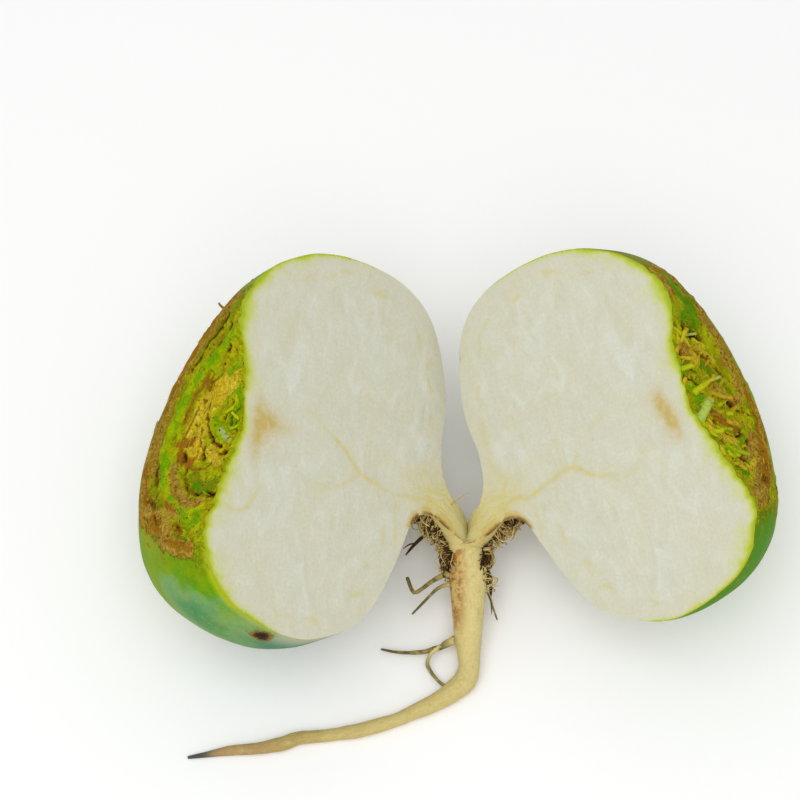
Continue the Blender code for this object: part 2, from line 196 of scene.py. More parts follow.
crownRelief = dict(
    ringPitch=4.2,  # between the scars of one leaf and the next
    ringHeight=0.30,
    ringFrom=6.0,
    ringTo=33.0,
    lumps=((5.0, 0.26), (1.9, 0.36), (0.9, 0.22)),
)
crownStrokes = dict(
    # what each scar, stalk base and pit is made of, half its width, how far it rises, and its (across, depth) points
    left=[
        ("cork", 3.6, 0.5, [(38, 12), (34, 20), (29, 26), (24, 31), (17, 36), (8, 40), (-3, 39), (-13, 36), (-18, 32)]),
        ("cork", 2.6, 0.3, [(33, 7), (31, 14), (27, 21), (21, 28), (12, 33), (3, 34), (-6, 33)]),
        ("rust", 1.0, 0.4, [(30, 16), (26, 23), (19, 30), (10, 34.5)]),
        ("dark", 0.6, -0.4, [(29, 8), (26.5, 14), (23.5, 19.5), (19, 25)]),
        ("lime", 1.7, 0.6, [(22.5, 5), (22, 9), (20.5, 14), (18, 19), (14, 24), (9, 27), (3, 28.7), (-4, 28.7), (-9, 26),
                            (-13.5, 22), (-18, 16), (-21.5, 10), (-23.5, 5)]),
        ("rust", 0.7, -0.2, [(15.6, 17.4), (11.6, 22), (5, 25.4)]),
        ("lime", 2.4, 0.0, [(9.4, 3.4), (5, 3.6), (1, 3)]),
        ("dark", 0.8, -0.7, [(25.5, 6), (24, 8.5), (22.6, 12)]),
        ("dark", 0.5, -0.5, [(20.8, 6), (20, 8)]),
        ("dark", 0.8, -1.3, [(14.2, 14.2), (12.4, 16)]),
        ("rust", 0.7, 0.3, [(16, 15), (13.4, 17.2), (11, 17)]),
        ("straw", 2.6, 0.5, [(12.5, 10), (10, 16), (5, 20), (0, 20.5), (-4, 18)]),
        ("straw", 2.6, 0.3, [(11.6, 5), (10.4, 8), (8, 12), (4, 15), (-2, 15.5), (-6, 14.5)]),
        ("lime", 1.4, 0.2, [(15.4, 4), (13.4, 7.4), (12.8, 11)]),
        ("straw", 1.6, 0.3, [(-4, 9), (-7, 8), (-9.5, 4)]),
        ("lime", 1.6, 0.9, [(8.5, 12), (5.5, 12.4), (2, 10.5), (-0.5, 8), (-2, 6)]),
        ("green", 0.9, 0.0, [(8.0, 13.2), (5.0, 13.4), (1.6, 11.6)]),
        ("pale", 0.7, 0.4, [(-0.6, 6.6), (-2.2, 5.2), (-3.6, 3.9)]),
        ("dark", 0.5, -0.6, [(8, 14.6), (4, 14.4), (0, 12.2), (-3.6, 8.6), (-5, 6)]),
        ("dark", 0.35, -0.5, [(6.4, 4.4), (4.6, 6.4), (2.6, 7.4)]),
        ("dark", 0.35, -0.5, [(4.4, 2.0), (3.0, 4.2), (0.4, 4.4)]),
        ("dark", 0.35, -0.5, [(1.6, 2.0), (0.4, 2.8), (-1.4, 2.0)]),
        ("dark", 1.0, -1.0, [(-4.4, 20.6), (-6, 19.4)]),
        ("dark", 0.8, -0.9, [(-4, 12.8), (-7, 12)]),
        ("dark", 0.35, -0.4, [(3.4, 19.0), (3.0, 18.6)]),
        ("dark", 0.35, -0.4, [(9.4, 17.4), (9.0, 17.2)]),
        ("rust", 0.6, 0.1, [(7.6, 19.8), (3.4, 21.6), (0.4, 22.4)]),
        ("rust", 0.5, 0.1, [(1.4, 15.4), (-2.2, 14.4), (-6.4, 15.0)]),
        ("rust", 0.5, 0.1, [(-9.6, 14.6), (-10.2, 10.6), (-9.4, 7.4)]),
        ("dark", 0.7, -0.9, [(-6.6, 5), (-7, 3.4)]),
        ("rust", 1.8, 0.2, [(-8, 16), (-4, 22.4), (-1, 21.6)]),
        ("rust", 1.2, 0.2, [(-2, 17.6), (-1, 24)]),
        ("dark", 0.5, -0.6, [(-9, 18), (-12, 16.4), (-15, 13.8), (-17, 10), (-17.4, 7)]),
        ("cork", 1.5, 0.5, [(-7, 23), (-12, 20.5), (-15.5, 17), (-18.8, 12), (-20, 6)]),
        ("green", 1.9, 0.2, [(-12, 13), (-15.2, 9), (-16, 5), (-15.8, 2)]),
        ("dark", 0.8, -0.7, [(-18, 4), (-18.7, 1.4)]),
        ("cork", 3.2, 0.3, [(-16, 32), (-20, 28), (-23, 22), (-27, 17)]),
        ("cork", 2.2, 0.3, [(-28, 16), (-30.6, 11), (-31.6, 6)]),
        ("lime", 1.8, -0.1, [(-20, 13), (-23.6, 8), (-26, 4)]),
        ("green", 0.9, -0.2, [(-24.6, 13), (-27, 8.6)]),
        ("rust", 1.0, 0.4, [(-22, 27), (-24.6, 21.6)]),
        ("rust", 0.9, 0.3, [(-29, 13.4), (-31, 7)]),
        ("lime", 0.8, -0.2, [(-22.4, 18.4), (-25.2, 13.6), (-27.6, 8)]),
        ("rust", 1.0, 0.5, [(-4, 35.5), (-10, 33.5), (-16, 30)]),
        ("rust", 1.0, -0.2, [(-24.0, 15.0), (-26.4, 11.0)]),
        ("dark", 0.35, -0.6, [(-24.6, 14.0), (-25.8, 12.0)]),
        ("rust", 1.1, -0.3, [(-20.0, 26.2), (-22.6, 22.0)]),
        ("dark", 0.4, -0.6, [(-20.4, 25.2), (-22.0, 22.8)]),
        ("green", 0.8, -0.6, [(-27, 10.6), (-29.6, 7.8)]),
        ("dark", 0.5, -0.5, [(-15, 29), (-18, 26)]),
        ("dark", 0.5, -0.5, [(-6, 31), (-11, 29.5)]),
        ("cork", 1.4, 0.2, [(-18, 21), (-21.4, 16)]),
        ("rust", 0.7, 0.2, [(-17, 22), (-20, 17.4)]),
        ("lime", 1.2, 0.1, [(-21, 10), (-24, 4)]),
    ],
    right=[
        ("green", 3.4, 0.0, [(31, 8), (27, 13), (23, 15), (21, 10)]),
        ("cork", 1.3, 0.5, [(37, 7), (33, 13), (29.5, 18), (25, 22.5), (20, 26), (13, 29), (6, 31), (0, 31.5), (-6, 31),
                            (-12, 28)]),
        ("rust", 0.5, 0.2, [(36, 9.5), (31, 16.5), (26, 22)]),
        ("rust", 0.8, 0.2, [(4, 30), (-2, 30), (-7, 28.5)]),
        ("green", 1.4, 0.1, [(33, 12), (29, 17.6)]),
        ("cork", 1.5, 0.2, [(25, 19.6), (19, 23.6), (11, 26.4), (4, 27.6)]),
        ("rust", 0.7, 0.3, [(34, 3), (30.5, 5), (28, 4), (26, 2.4)]),
        ("cork", 1.3, 0.3, [(35, 1.5), (31, 2.6), (27, 1.6)]),
        ("dark", 1.3, -1.1, [(20, 8.6), (18.6, 12), (17.4, 15.6)]),
        ("dark", 0.8, -1.2, [(20.4, 2.2), (18.4, 4.8)]),
        ("straw", 2.0, 0.8, [(17, 4), (14.6, 7.4), (12, 9.6)]),
        ("cork", 1.5, 0.6, [(14.4, 3.6), (12.6, 6.4)]),
        ("lime", 2.6, 0.1, [(12, 3), (8, 4.4), (4, 5), (0, 5)]),
        ("dark", 0.5, -0.7, [(13, 2.6), (10, 5.4), (8.6, 9.4)]),
        ("dark", 0.5, -0.6, [(7.2, 2), (6, 5.4), (3.4, 7.6)]),
        ("cork", 1.4, 0.8, [(6.4, 14), (3.4, 16), (1.6, 20), (1.5, 25)]),
        ("dark", 0.6, -0.7, [(5, 18), (1, 19), (-1, 24)]),
        ("rust", 2.2, 0.5, [(-3, 8.4), (-5.4, 12), (-7.4, 17)]),
        ("straw", 1.8, 0.3, [(-7, 3), (-9, 7), (-10, 12)]),
        ("dark", 0.6, -0.8, [(-8.6, 16), (-7, 18.6)]),
        ("dark", 0.5, -0.6, [(-5, 7), (-8, 9), (-10.4, 14)]),
        ("lime", 1.4, 0.3, [(-13, 3), (-13, 8), (-11, 14), (-7, 20)]),
        ("cork", 1.4, 0.3, [(-15, 12), (-13, 18), (-8, 23)]),
        ("dark", 0.9, -0.8, [(-14.6, 9.4), (-16, 12)]),
        ("dark", 0.5, -0.6, [(-12.6, 15), (-9.8, 20)]),
        ("green", 1.5, 0.0, [(-17.5, 4), (-18.8, 8), (-17, 13)]),
        ("cork", 3.2, 0.4, [(-26, 6), (-24, 11), (-20.5, 17), (-16, 22), (-10, 26)]),
        ("rust", 1.4, 0.5, [(-23.5, 14), (-20.4, 18.4), (-15, 23), (-9.5, 25.4)]),
        ("dark", 0.7, -0.9, [(-21.6, 16.2), (-20, 18.2)]),
        ("straw", 1.2, 0.3, [(-19, 12), (-15.6, 17), (-11, 22)]),
        ("dark", 0.5, -0.5, [(14, 11), (12, 17), (8, 22)]),
        ("straw", 1.0, 0.5, [(15.5, 11), (14, 15), (12, 19)]),
        ("green", 1.4, 0.0, [(11, 13), (8, 18), (4, 22)]),
    ],
)


def strokeStrength(flat, points, wide):
    line = evenly(points, 0.6)
    gap = np.sqrt(((flat[:, None, :] - line[None, :, :]) ** 2).sum(-1)).min(axis=1)
    return 1.0 - ease(gap, 0.35 * wide, 1.45 * wide)


def crownShift(side, across, depth):
    # how far the leaf scars lift or sink the crown
    seed = 100 if side == "left" else 200
    shape = across.shape
    across, depth = across.ravel(), depth.ravel()
    flat = np.stack([across, depth, np.zeros_like(across)], axis=-1)
    distance = np.hypot(across, depth) + 1.6 * clouds(flat, 9.0, seed) + 0.5 * clouds(flat, 2.5, seed + 1)
    scar = (distance / crownRelief["ringPitch"]) % 1.0
    step = scar**2 * (1.0 - ease(scar, 0.86, 1.0))
    rings = ease(distance, crownRelief["ringFrom"], 10.0) * (1.0 - ease(distance, 28.0, crownRelief["ringTo"]))
    near = 1.0 - ease(distance, 33.0, 40.0)
    shift = crownRelief["ringHeight"] * (step - 0.3) * rings
    shift = shift + near * sum(h * cloud(flat, size, seed + 7) for size, h in crownRelief["lumps"])
    close = np.hypot(across, depth) < 46.0
    for _, wide, lift, points in crownStrokes[side]:
        shift[close] += lift * strokeStrength(flat[close, :2], points, wide)
    return shift.reshape(shape)


fleshMarks = dict(
    # (across, crown) of each vein, then its strength and half its width
    left=[
        ([(5.5, 7.0), (4.3, 4.6), (3.2, 2.4), (1.8, 0.2), (0.2, -1.6), (-1.4, -3.2), (-2.8, -4.6), (-3.4, -7.0),
          (-4.0, -9.6), (-4.7, -12.2), (-4.9, -14.5)], 0.8, 0.5),
        ([(-4.9, -14.5), (-5.2, -17.5), (-4.7, -20.0), (-4.9, -23.0), (-4.0, -26.0), (-4.6, -30.0)], 0.6, 0.5),
        ([(-8.5, 2.5), (-7.3, 0.2), (-5.8, -1.6), (-4.3, -3.2), (-3.0, -4.6)], 0.45, 0.5),
        ([(-8.8, 9.0), (-8.9, 6.0), (-8.6, 3.2)], 0.22, 0.7),
        ([(-20.4, 36.5), (-20.4, 33.0), (-21.2, 31.0), (-20.8, 28.6), (-19.4, 26.4), (-17.0, 25.2), (-14.6, 24.0),
          (-12.6, 22.4)], 0.55, 0.5),
        ([(8.0, 13.5), (7.6, 10.0), (6.0, 7.4)], 0.25, 0.6),
        ([(-18.0, -18.2), (-15.0, -17.4), (-11.5, -17.0), (-7.5, -16.7), (-5.2, -16.8)], 0.35, 0.45),
        ([(-6.4, -15.2), (-5.6, -16.2), (-4.9, -18.5)], 0.5, 0.35),
    ],
    right=[
        ([(-8.6, 6.2), (-8.0, 4.0), (-7.2, 1.6), (-6.0, -0.4), (-4.4, -2.2), (-2.9, -4.0), (-2.1, -6.2), (-2.2, -8.6),
          (-3.0, -11.0), (-3.6, -14.0), (-4.3, -17.0), (-4.6, -19.6), (-3.4, -21.6), (-3.3, -24.0), (-4.3, -26.4),
          (-4.7, -28.6), (-5.6, -31.0)], 0.85, 0.55),
        ([(0.6, -2.2), (-0.8, -4.0), (-2.0, -5.4)], 0.4, 0.45),
        ([(6.8, 9.0), (6.0, 6.0), (4.8, 3.0), (3.4, 0.6)], 0.3, 0.7),
        ([(-9.6, 14.0), (-9.4, 10.0), (-8.8, 7.0)], 0.2, 0.8),
        ([(4.5, 24.0), (5.4, 19.0), (5.2, 14.0), (3.8, 10.0)], 0.16, 0.8),
        ([(-20.0, 15.4), (-16.4, 16.8), (-12.0, 17.6), (-8.0, 16.8), (-5.2, 14.0), (-3.6, 11.0)], 0.2, 1.0),
        ([(-5.6, -18.0), (-8.6, -18.6), (-11.6, -18.4), (-14.6, -19.0)], 0.35, 0.45),
        ([(2.0, -23.8), (5.5, -25.8), (9.0, -26.4), (13.0, -25.6), (19.0, -25.2)], 0.4, 0.7),
        ([(-0.6, -26.0), (1.6, -24.0), (2.2, -22.4)], 0.35, 0.5),
    ],
)
fleshStains = dict(  # across, crown, its radius each way, strength
    left=[
        (-1.5, 26.2, 6.0, 1.9, 0.8), (2.6, 23.6, 2.8, 3.2, 0.9), (2.2, 18.6, 1.6, 3.4, 0.35), (6.5, 26.4, 2.6, 1.2, 0.4),
        (1.0, 24.0, 7.5, 4.6, 0.3),
    ],
    right=[
        (-1.2, 23.9, 4.6, 1.7, 0.9), (3.4, 22.6, 3.4, 1.5, 0.7), (-4.6, 25.0, 2.6, 1.1, 0.5), (0.5, 23.0, 7.0, 3.2, 0.25),
    ],
)


def veinStrength(side, flat):
    strength = np.zeros(len(flat))
    for points, strong, wide in fleshMarks[side]:
        line = evenly(points, 0.3)
        gap = np.sqrt(((flat[:, None, :] - line[None, :, :]) ** 2).sum(-1))
        near = gap.argmin(axis=1)
        along = near / (len(line) - 1.0)
        fade = 0.35 + 0.65 * ease(np.minimum(along, 1.0 - along), 0.0, 0.22)
        least = gap.min(axis=1)
        strength = np.maximum(strength, strong * fade * (bell(least, 0.0, wide) + 0.25 * bell(least, 0.0, 3.2 * wide)))
    return strength


def stainStrength(side, flat):
    total = np.zeros(len(flat))
    for a, c, wideA, wideC, strong in fleshStains[side]:
        total += strong * np.exp(-(((flat[:, 0] - a) / wideA) ** 2) - ((flat[:, 1] - c) / wideC) ** 2)
    return np.clip(total, 0.0, 1.2)


def insidePolygon(points, loop):
    # even-odd test against every edge at once
    x, y = points[:, None, 0], points[:, None, 1]
    ax, ay = loop[None, :, 0], loop[None, :, 1]
    bx, by = np.roll(ax, -1, axis=1), np.roll(ay, -1, axis=1)
    crosses = ((ay > y) != (by > y)) & (x < (bx - ax) * (y - ay) / (by - ay + 1e-12) + ax)
    return crosses.sum(axis=1) % 2 == 1


def fillCut(side, loop):
    # triangles over the cut, with finer points along the veins: loop is (across, crown)
    step = turnip["cutStep"]
    low, high = loop.min(axis=0), loop.max(axis=0)
    rows = np.arange(low[1], high[1], step * 0.866)
    grid = [
        (a + (0.5 * step if k % 2 else 0.0), c)
        for k, c in enumerate(rows) for a in np.arange(low[0], high[0], step)
    ]
    grid = np.array(grid)
    grid = grid[insidePolygon(grid, loop)]
    lines = np.concatenate([evenly(points, 0.45) for points, _, _ in fleshMarks[side]])
    lines = lines[insidePolygon(lines, loop)]
    kept = []
    for spot in lines:
        if not kept or np.min(np.sum((np.array(kept) - spot) ** 2, axis=1)) > 0.3**2:
            kept.append(spot)
    lines = np.array(kept)
    fixed = np.concatenate([loop, lines])
    far = np.sqrt(((grid[:, None, :] - fixed[None, :, :]) ** 2).sum(-1)).min(axis=1)
    toLoop = np.sqrt(((lines[:, None, :] - loop[None, :, :]) ** 2).sum(-1)).min(axis=1)
    inner = np.concatenate([grid[far > 0.5 * step], lines[toLoop > 0.5 * step]])
    count = len(loop)
    edges = [(k, (k + 1) % count) for k in range(count)]
    points = [Vector(p) for p in np.concatenate([loop, inner])]
    verts, _, faces, origins, _, _ = delaunay_2d_cdt(points, edges, [], 1, 1e-6)
    index = [origin[0] if origin else None for origin in origins]
    if None in index or len(verts) != len(points):
        raise RuntimeError("the cut's rim crosses itself")
    return inner, [[index[v] for v in face] for face in faces]


def buildNeck(half, side, arcCount):
    # rows of half circles from the end of the body into the root, each with points along its cut
    crown, across, facing = halfFrame(half)
    upper, lower = outline[-1] * half["size"]
    middle, reach = (upper + lower) / 2.0, (upper - lower) / 2.0
    width = float(np.linalg.norm(reach))
    start = half["middle"] + middle[0] * crown + middle[1] * across
    leave = unit(-reach[1] * crown + reach[0] * across)
    hand = half["hand"]
    turn = math.radians(turnip["splitTurn"])
    up = unit(np.cross(rootWay, (1.0, 0.0, 0.0)))
    facingEnd = hand * (math.cos(turn) * np.array([1.0, 0.0, 0.0]) + math.sin(turn) * up)
    end = joint + facingEnd * turnip["neckLap"]
    pull = np.linalg.norm(end - start)
    angles = np.linspace(0.0, math.pi, arcCount + 1)
    chord = np.linspace(1.0, -1.0, turnip["neckColumns"] + 1)[1:-1]
    rows = []

    def addRow(centre, way, looks, radius, share):
        looks = unit(looks - way * np.dot(looks, way))
        sideways = hand * np.cross(looks, way)
        lip = 1.0 + turnip["neckLip"] * ease(share, 0.0, 0.4) * np.sin(2.0 * np.maximum(angles, math.pi / 2)) ** 2
        arc = centre + (radius * lip)[:, None] * (
            np.cos(angles)[:, None] * sideways - np.sin(angles)[:, None] * looks
        )
        flat = centre + radius * chord[:, None] * sideways
        u = chord * radius
        calm = ease(share, 0.0, 0.12) * (1.0 - ease(share, 0.6, 0.9))
        ridge = 0.16 * cloud(np.stack([u, u * 0 + share * 2.2, u * 0], -1), 0.8, 41) + 0.2 * cloud(
            np.stack([u, u * 0 + share * 3.0, u * 0], -1), 2.2, 42)
        flat = flat + (ridge * (1.0 - chord**2) ** 0.5 * calm)[:, None] * looks
        rough = 0.12 * cloud(np.stack([angles * radius, angles * 0 + share * pull, angles * 0], -1), 1.3, 43)
        arc = arc + (rough * ease(share, 0.0, 0.15))[:, None] * (arc - centre) / radius
        rows.append((arc, flat, radius, share))

    for step in range(1, turnip["neckRows"] + 1):
        s = step / turnip["neckRows"]
        centre = (
            (2 * s**3 - 3 * s**2 + 1) * start + (s**3 - 2 * s**2 + s) * pull * leave
            + (3 * s**2 - 2 * s**3) * end + (s**3 - s**2) * pull * rootWay
        )
        way = unit(
            (6 * s**2 - 6 * s) * (start - end) + (3 * s**2 - 4 * s + 1) * pull * leave
            + (3 * s**2 - 2 * s) * pull * rootWay
        )
        radius = width + (turnip["neckAtJoint"] - width) * s**2 - turnip["neckWaist"] * math.sin(math.pi * s)
        addRow(centre, way, facing + (facingEnd - facing) * ease(s, 0.0, 1.0), radius, s)
    for depth, shrink in ((0.25, 0.99), (0.5, 0.95), (0.75, 0.88), (1.0, 0.8)):
        centre = end + rootWay * turnip["neckInRoot"] * depth + facingEnd * turnip["neckLap"] * depth
        addRow(centre, rootWay, facingEnd, turnip["neckAtJoint"] * shrink, 1.0 + 0.2 * depth)
    return rows, chord, pull


def buildHalf(side):
    half = turnip["halves"][side]
    axes = np.array(halfFrame(half))
    sign = -1.0 if side == "left" else 1.0
    count = turnip["arcs"]
    angles = np.linspace(0.0, math.pi, count + 1)
    fine = np.linspace(0.0, turnip["crownEnd"], turnip["crownRows"] + 1)[1:]
    rest = np.linspace(turnip["crownEnd"], len(outline) - 1.0, turnip["bodyRows"] + 1)[1:]
    places = np.concatenate([fine, rest])
    skin = skinPoints(half, places, angles)
    neck, chord, pull = buildNeck(half, side, count)
    tip = np.array([outline[0][0][0] * half["size"], 0.0, 0.0])
    rowCount, columns = len(places), count + 1

    local = [tip[None], skin.reshape(-1, 3)]
    data = [np.zeros((1, 10)), np.zeros((rowCount * columns, 10))]
    data[1][:, 5] = np.repeat(places, columns)
    steps = np.minimum(angles, math.pi - angles)
    data[1][:, 4] = (steps[None, :] * np.abs(skin[:, :1, 1] - skin[:, -1:, 1]) / 2.0).ravel()

    # the cut: its rim runs tip, upper edge, chord at the neck, lower edge
    firstSkin = 1
    upperEdge = [firstSkin + r * columns for r in range(rowCount)]
    lowerEdge = [firstSkin + r * columns + count for r in range(rowCount)]
    a, b = skin[-1, 0], skin[-1, -1]
    chordPoints = np.array([(a + b) / 2.0 + (a - b) / 2.0 * c for c in chord])
    firstChord = firstSkin + rowCount * columns
    local.append(chordPoints)
    data.append(np.zeros((len(chord), 10)))
    data[-1][:, 5] = len(outline) - 1.0
    loopIndex = [0] + upperEdge + [firstChord + k for k in range(len(chord))] + lowerEdge[::-1]
    sofar = np.concatenate(local)
    loop = sofar[loopIndex][:, [1, 0]]
    inner, triangles = fillCut(side, loop)
    firstInner = len(sofar)
    local.append(np.stack([inner[:, 1], inner[:, 0], np.zeros(len(inner))], -1))
    rimPlace = np.concatenate([[0.0], places, np.full(len(chord), len(outline) - 1.0), places[::-1]])
    gap = np.sqrt(((inner[:, None, :] - loop[None, :, :]) ** 2).sum(-1))
    nearest = gap.argmin(axis=1)
    innerData = np.zeros((len(inner), 10))
    innerData[:, 4] = gap.min(axis=1)
    chordStart, chordEnd = 1 + rowCount, 1 + rowCount + len(chord)
    atNeck = (nearest >= chordStart) & (nearest < chordEnd)
    innerData[atNeck, 4] = np.maximum(innerData[atNeck, 4], 3.0)
    innerData[:, 5] = rimPlace[nearest]
    data.append(innerData)
    data[2][:, 4] = 3.0
    local, data = np.concatenate(local), np.concatenate(data)
    flat = local[:, [1, 0]]
    onCut = np.concatenate([np.arange(firstChord, len(local)), [0], upperEdge, lowerEdge])
    data[onCut, 6] = veinStrength(side, flat[onCut])
    data[onCut, 7] = stainStrength(side, flat[onCut])

    # relief: leaf scars at the crown, soft lumps all over, and a slightly torn cut
    data[:, 0:3] = local[:, [1, 0, 2]]
    isInner = np.zeros(len(local))
    isInner[firstChord:] = 1.0
    hold = np.where(isInner > 0, 1.0 - ease(data[:, 4], 0.0, 3.5), 1.0)
    lumps = 0.35 * cloud(local, 15.0, 5) + 0.14 * cloud(local, 5.5, 6)
    lumps = lumps * (1.0 - ease(data[:, 5], 10.0, 12.0))
    lifted = local + (hold * lumps)[:, None] * local / (np.linalg.norm(local, axis=1)[:, None] + 1e-6)
    atCrown = 1.0 - ease(data[:, 5], turnip["crownEnd"] - 0.4, turnip["crownEnd"] + 0.8)
    lifted[:, 0] += hold * atCrown * crownShift(side, local[:, 1], local[:, 2])
    torn = 0.10 * cloud(local, 6.0, 8) + 0.05 * cloud(local, 1.7, 9)
    flake = bell(local[:, 1], 20.0, 13.0) * bell(local[:, 0], -22.5, 3.2) if side == "left" else 0.0 * torn
    torn = torn + 0.30 * flake * np.abs(clouds(local * np.array([1.0, 0.6, 1.0]), 2.4, 10))
    lifted[:, 2] -= isInner * ease(data[:, 4], 0.0, 2.0) * torn
    world = lifted * np.array([1.0, 1.0, -1.0]) @ axes + half["middle"]

    # the neck goes on from the last row
    ring = [firstSkin + (rowCount - 1) * columns + j for j in range(columns)]
    strip = [firstChord + k for k in range(len(chord))]
    faces, slots = [], []
    for left, right in zip(range(columns - 1), range(1, columns)):
        faces.append((0, firstSkin + left, firstSkin + right))
        slots.append(1)
    for r in range(rowCount - 1):
        base = firstSkin + r * columns
        for j in range(count):
            faces.append((base + j, base + columns + j, base + columns + j + 1, base + j + 1))
            slots.append(1)
    for triangle in triangles:
        faces.append(tuple(loopIndex[v] if v < len(loopIndex) else firstInner + v - len(loopIndex) for v in triangle))
        slots.append(0)
    total = len(world)
    worlds, datas = [world], [data]
    for arc, flatRow, radius, share in neck:
        worlds += [arc, flatRow]
        rows = np.zeros((columns + len(chord), 10))
        rows[:columns, 0], rows[:columns, 2] = np.cos(angles) * radius - 4.0, np.sin(angles) * radius
        rows[columns:, 0] = chord * radius - 4.0
        rows[:, 1] = -31.0 - share * pull
        rows[:columns, 4] = steps * radius
        rows[columns:, 4] = (1.0 - np.abs(chord)) * radius
        rows[:, 5] = len(outline) - 1.0 + share
        datas.append(rows)
        newRing = list(range(total, total + columns))
        newStrip = list(range(total + columns, total + columns + len(chord)))
        total += columns + len(chord)
        for j in range(count):
            faces.append((ring[j], newRing[j], newRing[j + 1], ring[j + 1]))
            slots.append(1)
        old, new = [ring[0]] + strip + [ring[-1]], [newRing[0]] + newStrip + [newRing[-1]]
        for k in range(len(old) - 1):
            faces.append((old[k], old[k + 1], new[k + 1], new[k]))
            slots.append(0)
        ring, strip = newRing, newStrip
    faces.append(tuple(ring + strip[::-1]))
    slots.append(2)
    world, data = np.concatenate(worlds), np.concatenate(datas)
    data[:, 3] = sign
    return world, data, faces, slots


# ---- the tap root and its side roots

tapRoot = dict(
    line=[  # x, y, z, radius
        (16.8, -25.0, 13.3, 4.5), (16.9, -26.6, 12.9, 5.0), (17.0, -29.0, 12.2, 5.0), (17.1, -32.5, 11.1, 4.6),
        (17.1, -37.5, 9.4, 4.15), (17.1, -43.0, 7.2, 3.7), (17.0, -48.0, 5.2, 3.2), (17.2, -52.5, 3.5, 2.8),
        (16.0, -56.2, 2.7, 2.75), (13.0, -58.7, 2.4, 2.55), (9.0, -61.2, 2.1, 2.25), (4.5, -63.4, 1.8, 1.95),
        (-2.0, -66.2, 1.65, 1.75), (-10.0, -68.5, 1.65, 1.8), (-18.0, -69.8, 1.4, 1.55), (-25.0, -70.5, 1.5, 1.6),
        (-29.0, -72.0, 1.55, 1.7), (-35.0, -73.1, 1.35, 1.45), (-42.0, -73.6, 1.1, 1.2), (-48.0, -74.5, 0.65, 0.7),
        (-52.0, -75.1, 0.45, 0.4),
    ],
    step=0.55,
    sides=40,
    lumps=((5.0, 0.10), (1.8, 0.05)),  # size and height, as a share of the radius
    wrinkle=0.018,
)
sideRoots = dict(
    lines=[  # points x, y, z, then the thickness at the root and at the tip
        ([(17.0, -45.6, 6.0), (14.2, -46.0, 5.4), (11.9, -46.7, 4.6), (9.2, -47.8, 3.9), (4.6, -48.4, 2.8),
          (-0.8, -47.9, 1.8), (-4.6, -46.9, 1.2)], 3.4, 0.55),
        ([(10.4, -47.3, 4.2), (8.4, -48.4, 3.9), (7.2, -50.0, 3.2), (6.9, -51.7, 2.2), (8.3, -53.9, 1.5),
          (10.0, -56.0, 1.7), (12.2, -57.6, 2.0)], 1.5, 0.8),
        ([(16.5, -31.0, 12.0), (13.2, -31.0, 12.4), (11.0, -31.4, 12.4), (8.0, -32.8, 11.4), (4.3, -35.0, 9.8),
          (3.2, -34.6, 9.5), (2.5, -33.0, 9.5), (1.9, -31.2, 9.8)], 2.3, 0.85),
        ([(15.5, -33.0, 10.2), (12.0, -33.2, 10.2), (9.5, -33.8, 9.4), (6.3, -36.4, 7.6), (3.2, -39.2, 6.0)], 1.7, 0.55),
        ([(20.0, -33.0, 10.5), (22.4, -35.4, 8.6), (23.4, -38.2, 7.2), (24.4, -40.8, 6.0)], 1.2, 0.4),
    ],
    sides=10,
    step=0.6,
)


def tubeFrames(line):
    way = np.gradient(line, axis=0)
    way /= np.linalg.norm(way, axis=1)[:, None]
    across, frames = np.cross(way[0], (0.0, 0.0, 1.0)), []
    for direction in way:
        across = unit(across - direction * np.dot(across, direction))
        frames.append((across, np.cross(across, direction)))
    return frames


def buildTube(line, radii, sides, seed, lumps, wrinkle, kind):
    # a closed tube with a rounded tip at each end
    ends = np.array([0.0, 0.35, 0.7, 0.92])
    first, last = line[0] - unit(line[1] - line[0]) * radii[0] * 0.6, line[-1] + unit(line[-1] - line[-2]) * radii[-1] * 1.2
    head = [line[0] + (first - line[0]) * (1 - e) for e in ends[1:]]
    tail = [line[-1] + (last - line[-1]) * (1 - e) for e in ends[1:][::-1]]
    headRadii = [radii[0] * math.sqrt(1 - (1 - e) ** 2) for e in ends[1:]]
    tailRadii = [radii[-1] * math.sqrt(1 - (1 - e) ** 2) for e in ends[1:][::-1]]
    centres = np.array(head + list(line) + tail)
    radii = np.array(headRadii + list(radii) + tailRadii)
    frames = tubeFrames(centres)
    turns = np.arange(sides) * 2.0 * math.pi / sides
    walked = np.concatenate([[0.0], np.cumsum(np.linalg.norm(np.diff(centres, axis=0), axis=1))])
    points, data = [], []
    for centre, radius, (across, upward), along in zip(centres, radii, frames, walked):
        ring = np.cos(turns)[:, None] * across + np.sin(turns)[:, None] * upward
        spot = centre + ring * radius
        swell = sum(h * cloud(spot + seed * 17.0, size, seed + k) for k, (size, h) in enumerate(lumps))
        folds = wrinkle * cloud(np.stack([turns * 5.0, turns * 0 + along * 0.12, turns * 0], -1), 1.0, seed + 5)
        points.append(centre + ring * (radius * (1.0 + swell + folds))[:, None])
        rows = np.zeros((sides, 10))
        rows[:, 5] = 14.0 + kind
        rows[:, 8], rows[:, 9] = along, turns
        rows[:, 0:3] = spot - joint
        rows[:, 4] = 20.0
        data.append(rows)
    points, data = np.concatenate(points), np.concatenate(data)
    faces = []
    for r in range(len(centres) - 1):
        for k in range(sides):
            n = (k + 1) % sides
            faces.append((r * sides + k, r * sides + n, (r + 1) * sides + n, (r + 1) * sides + k))
    faces.append(tuple(range(sides))[::-1])
    faces.append(tuple((len(centres) - 1) * sides + k for k in range(sides)))
    return points, data, faces, [2] * len(faces)


def buildTapRoot():
    line = evenly(tapRoot["line"], tapRoot["step"])
    return buildTube(line[:, :3], line[:, 3], tapRoot["sides"], 3, tapRoot["lumps"], tapRoot["wrinkle"], 0)


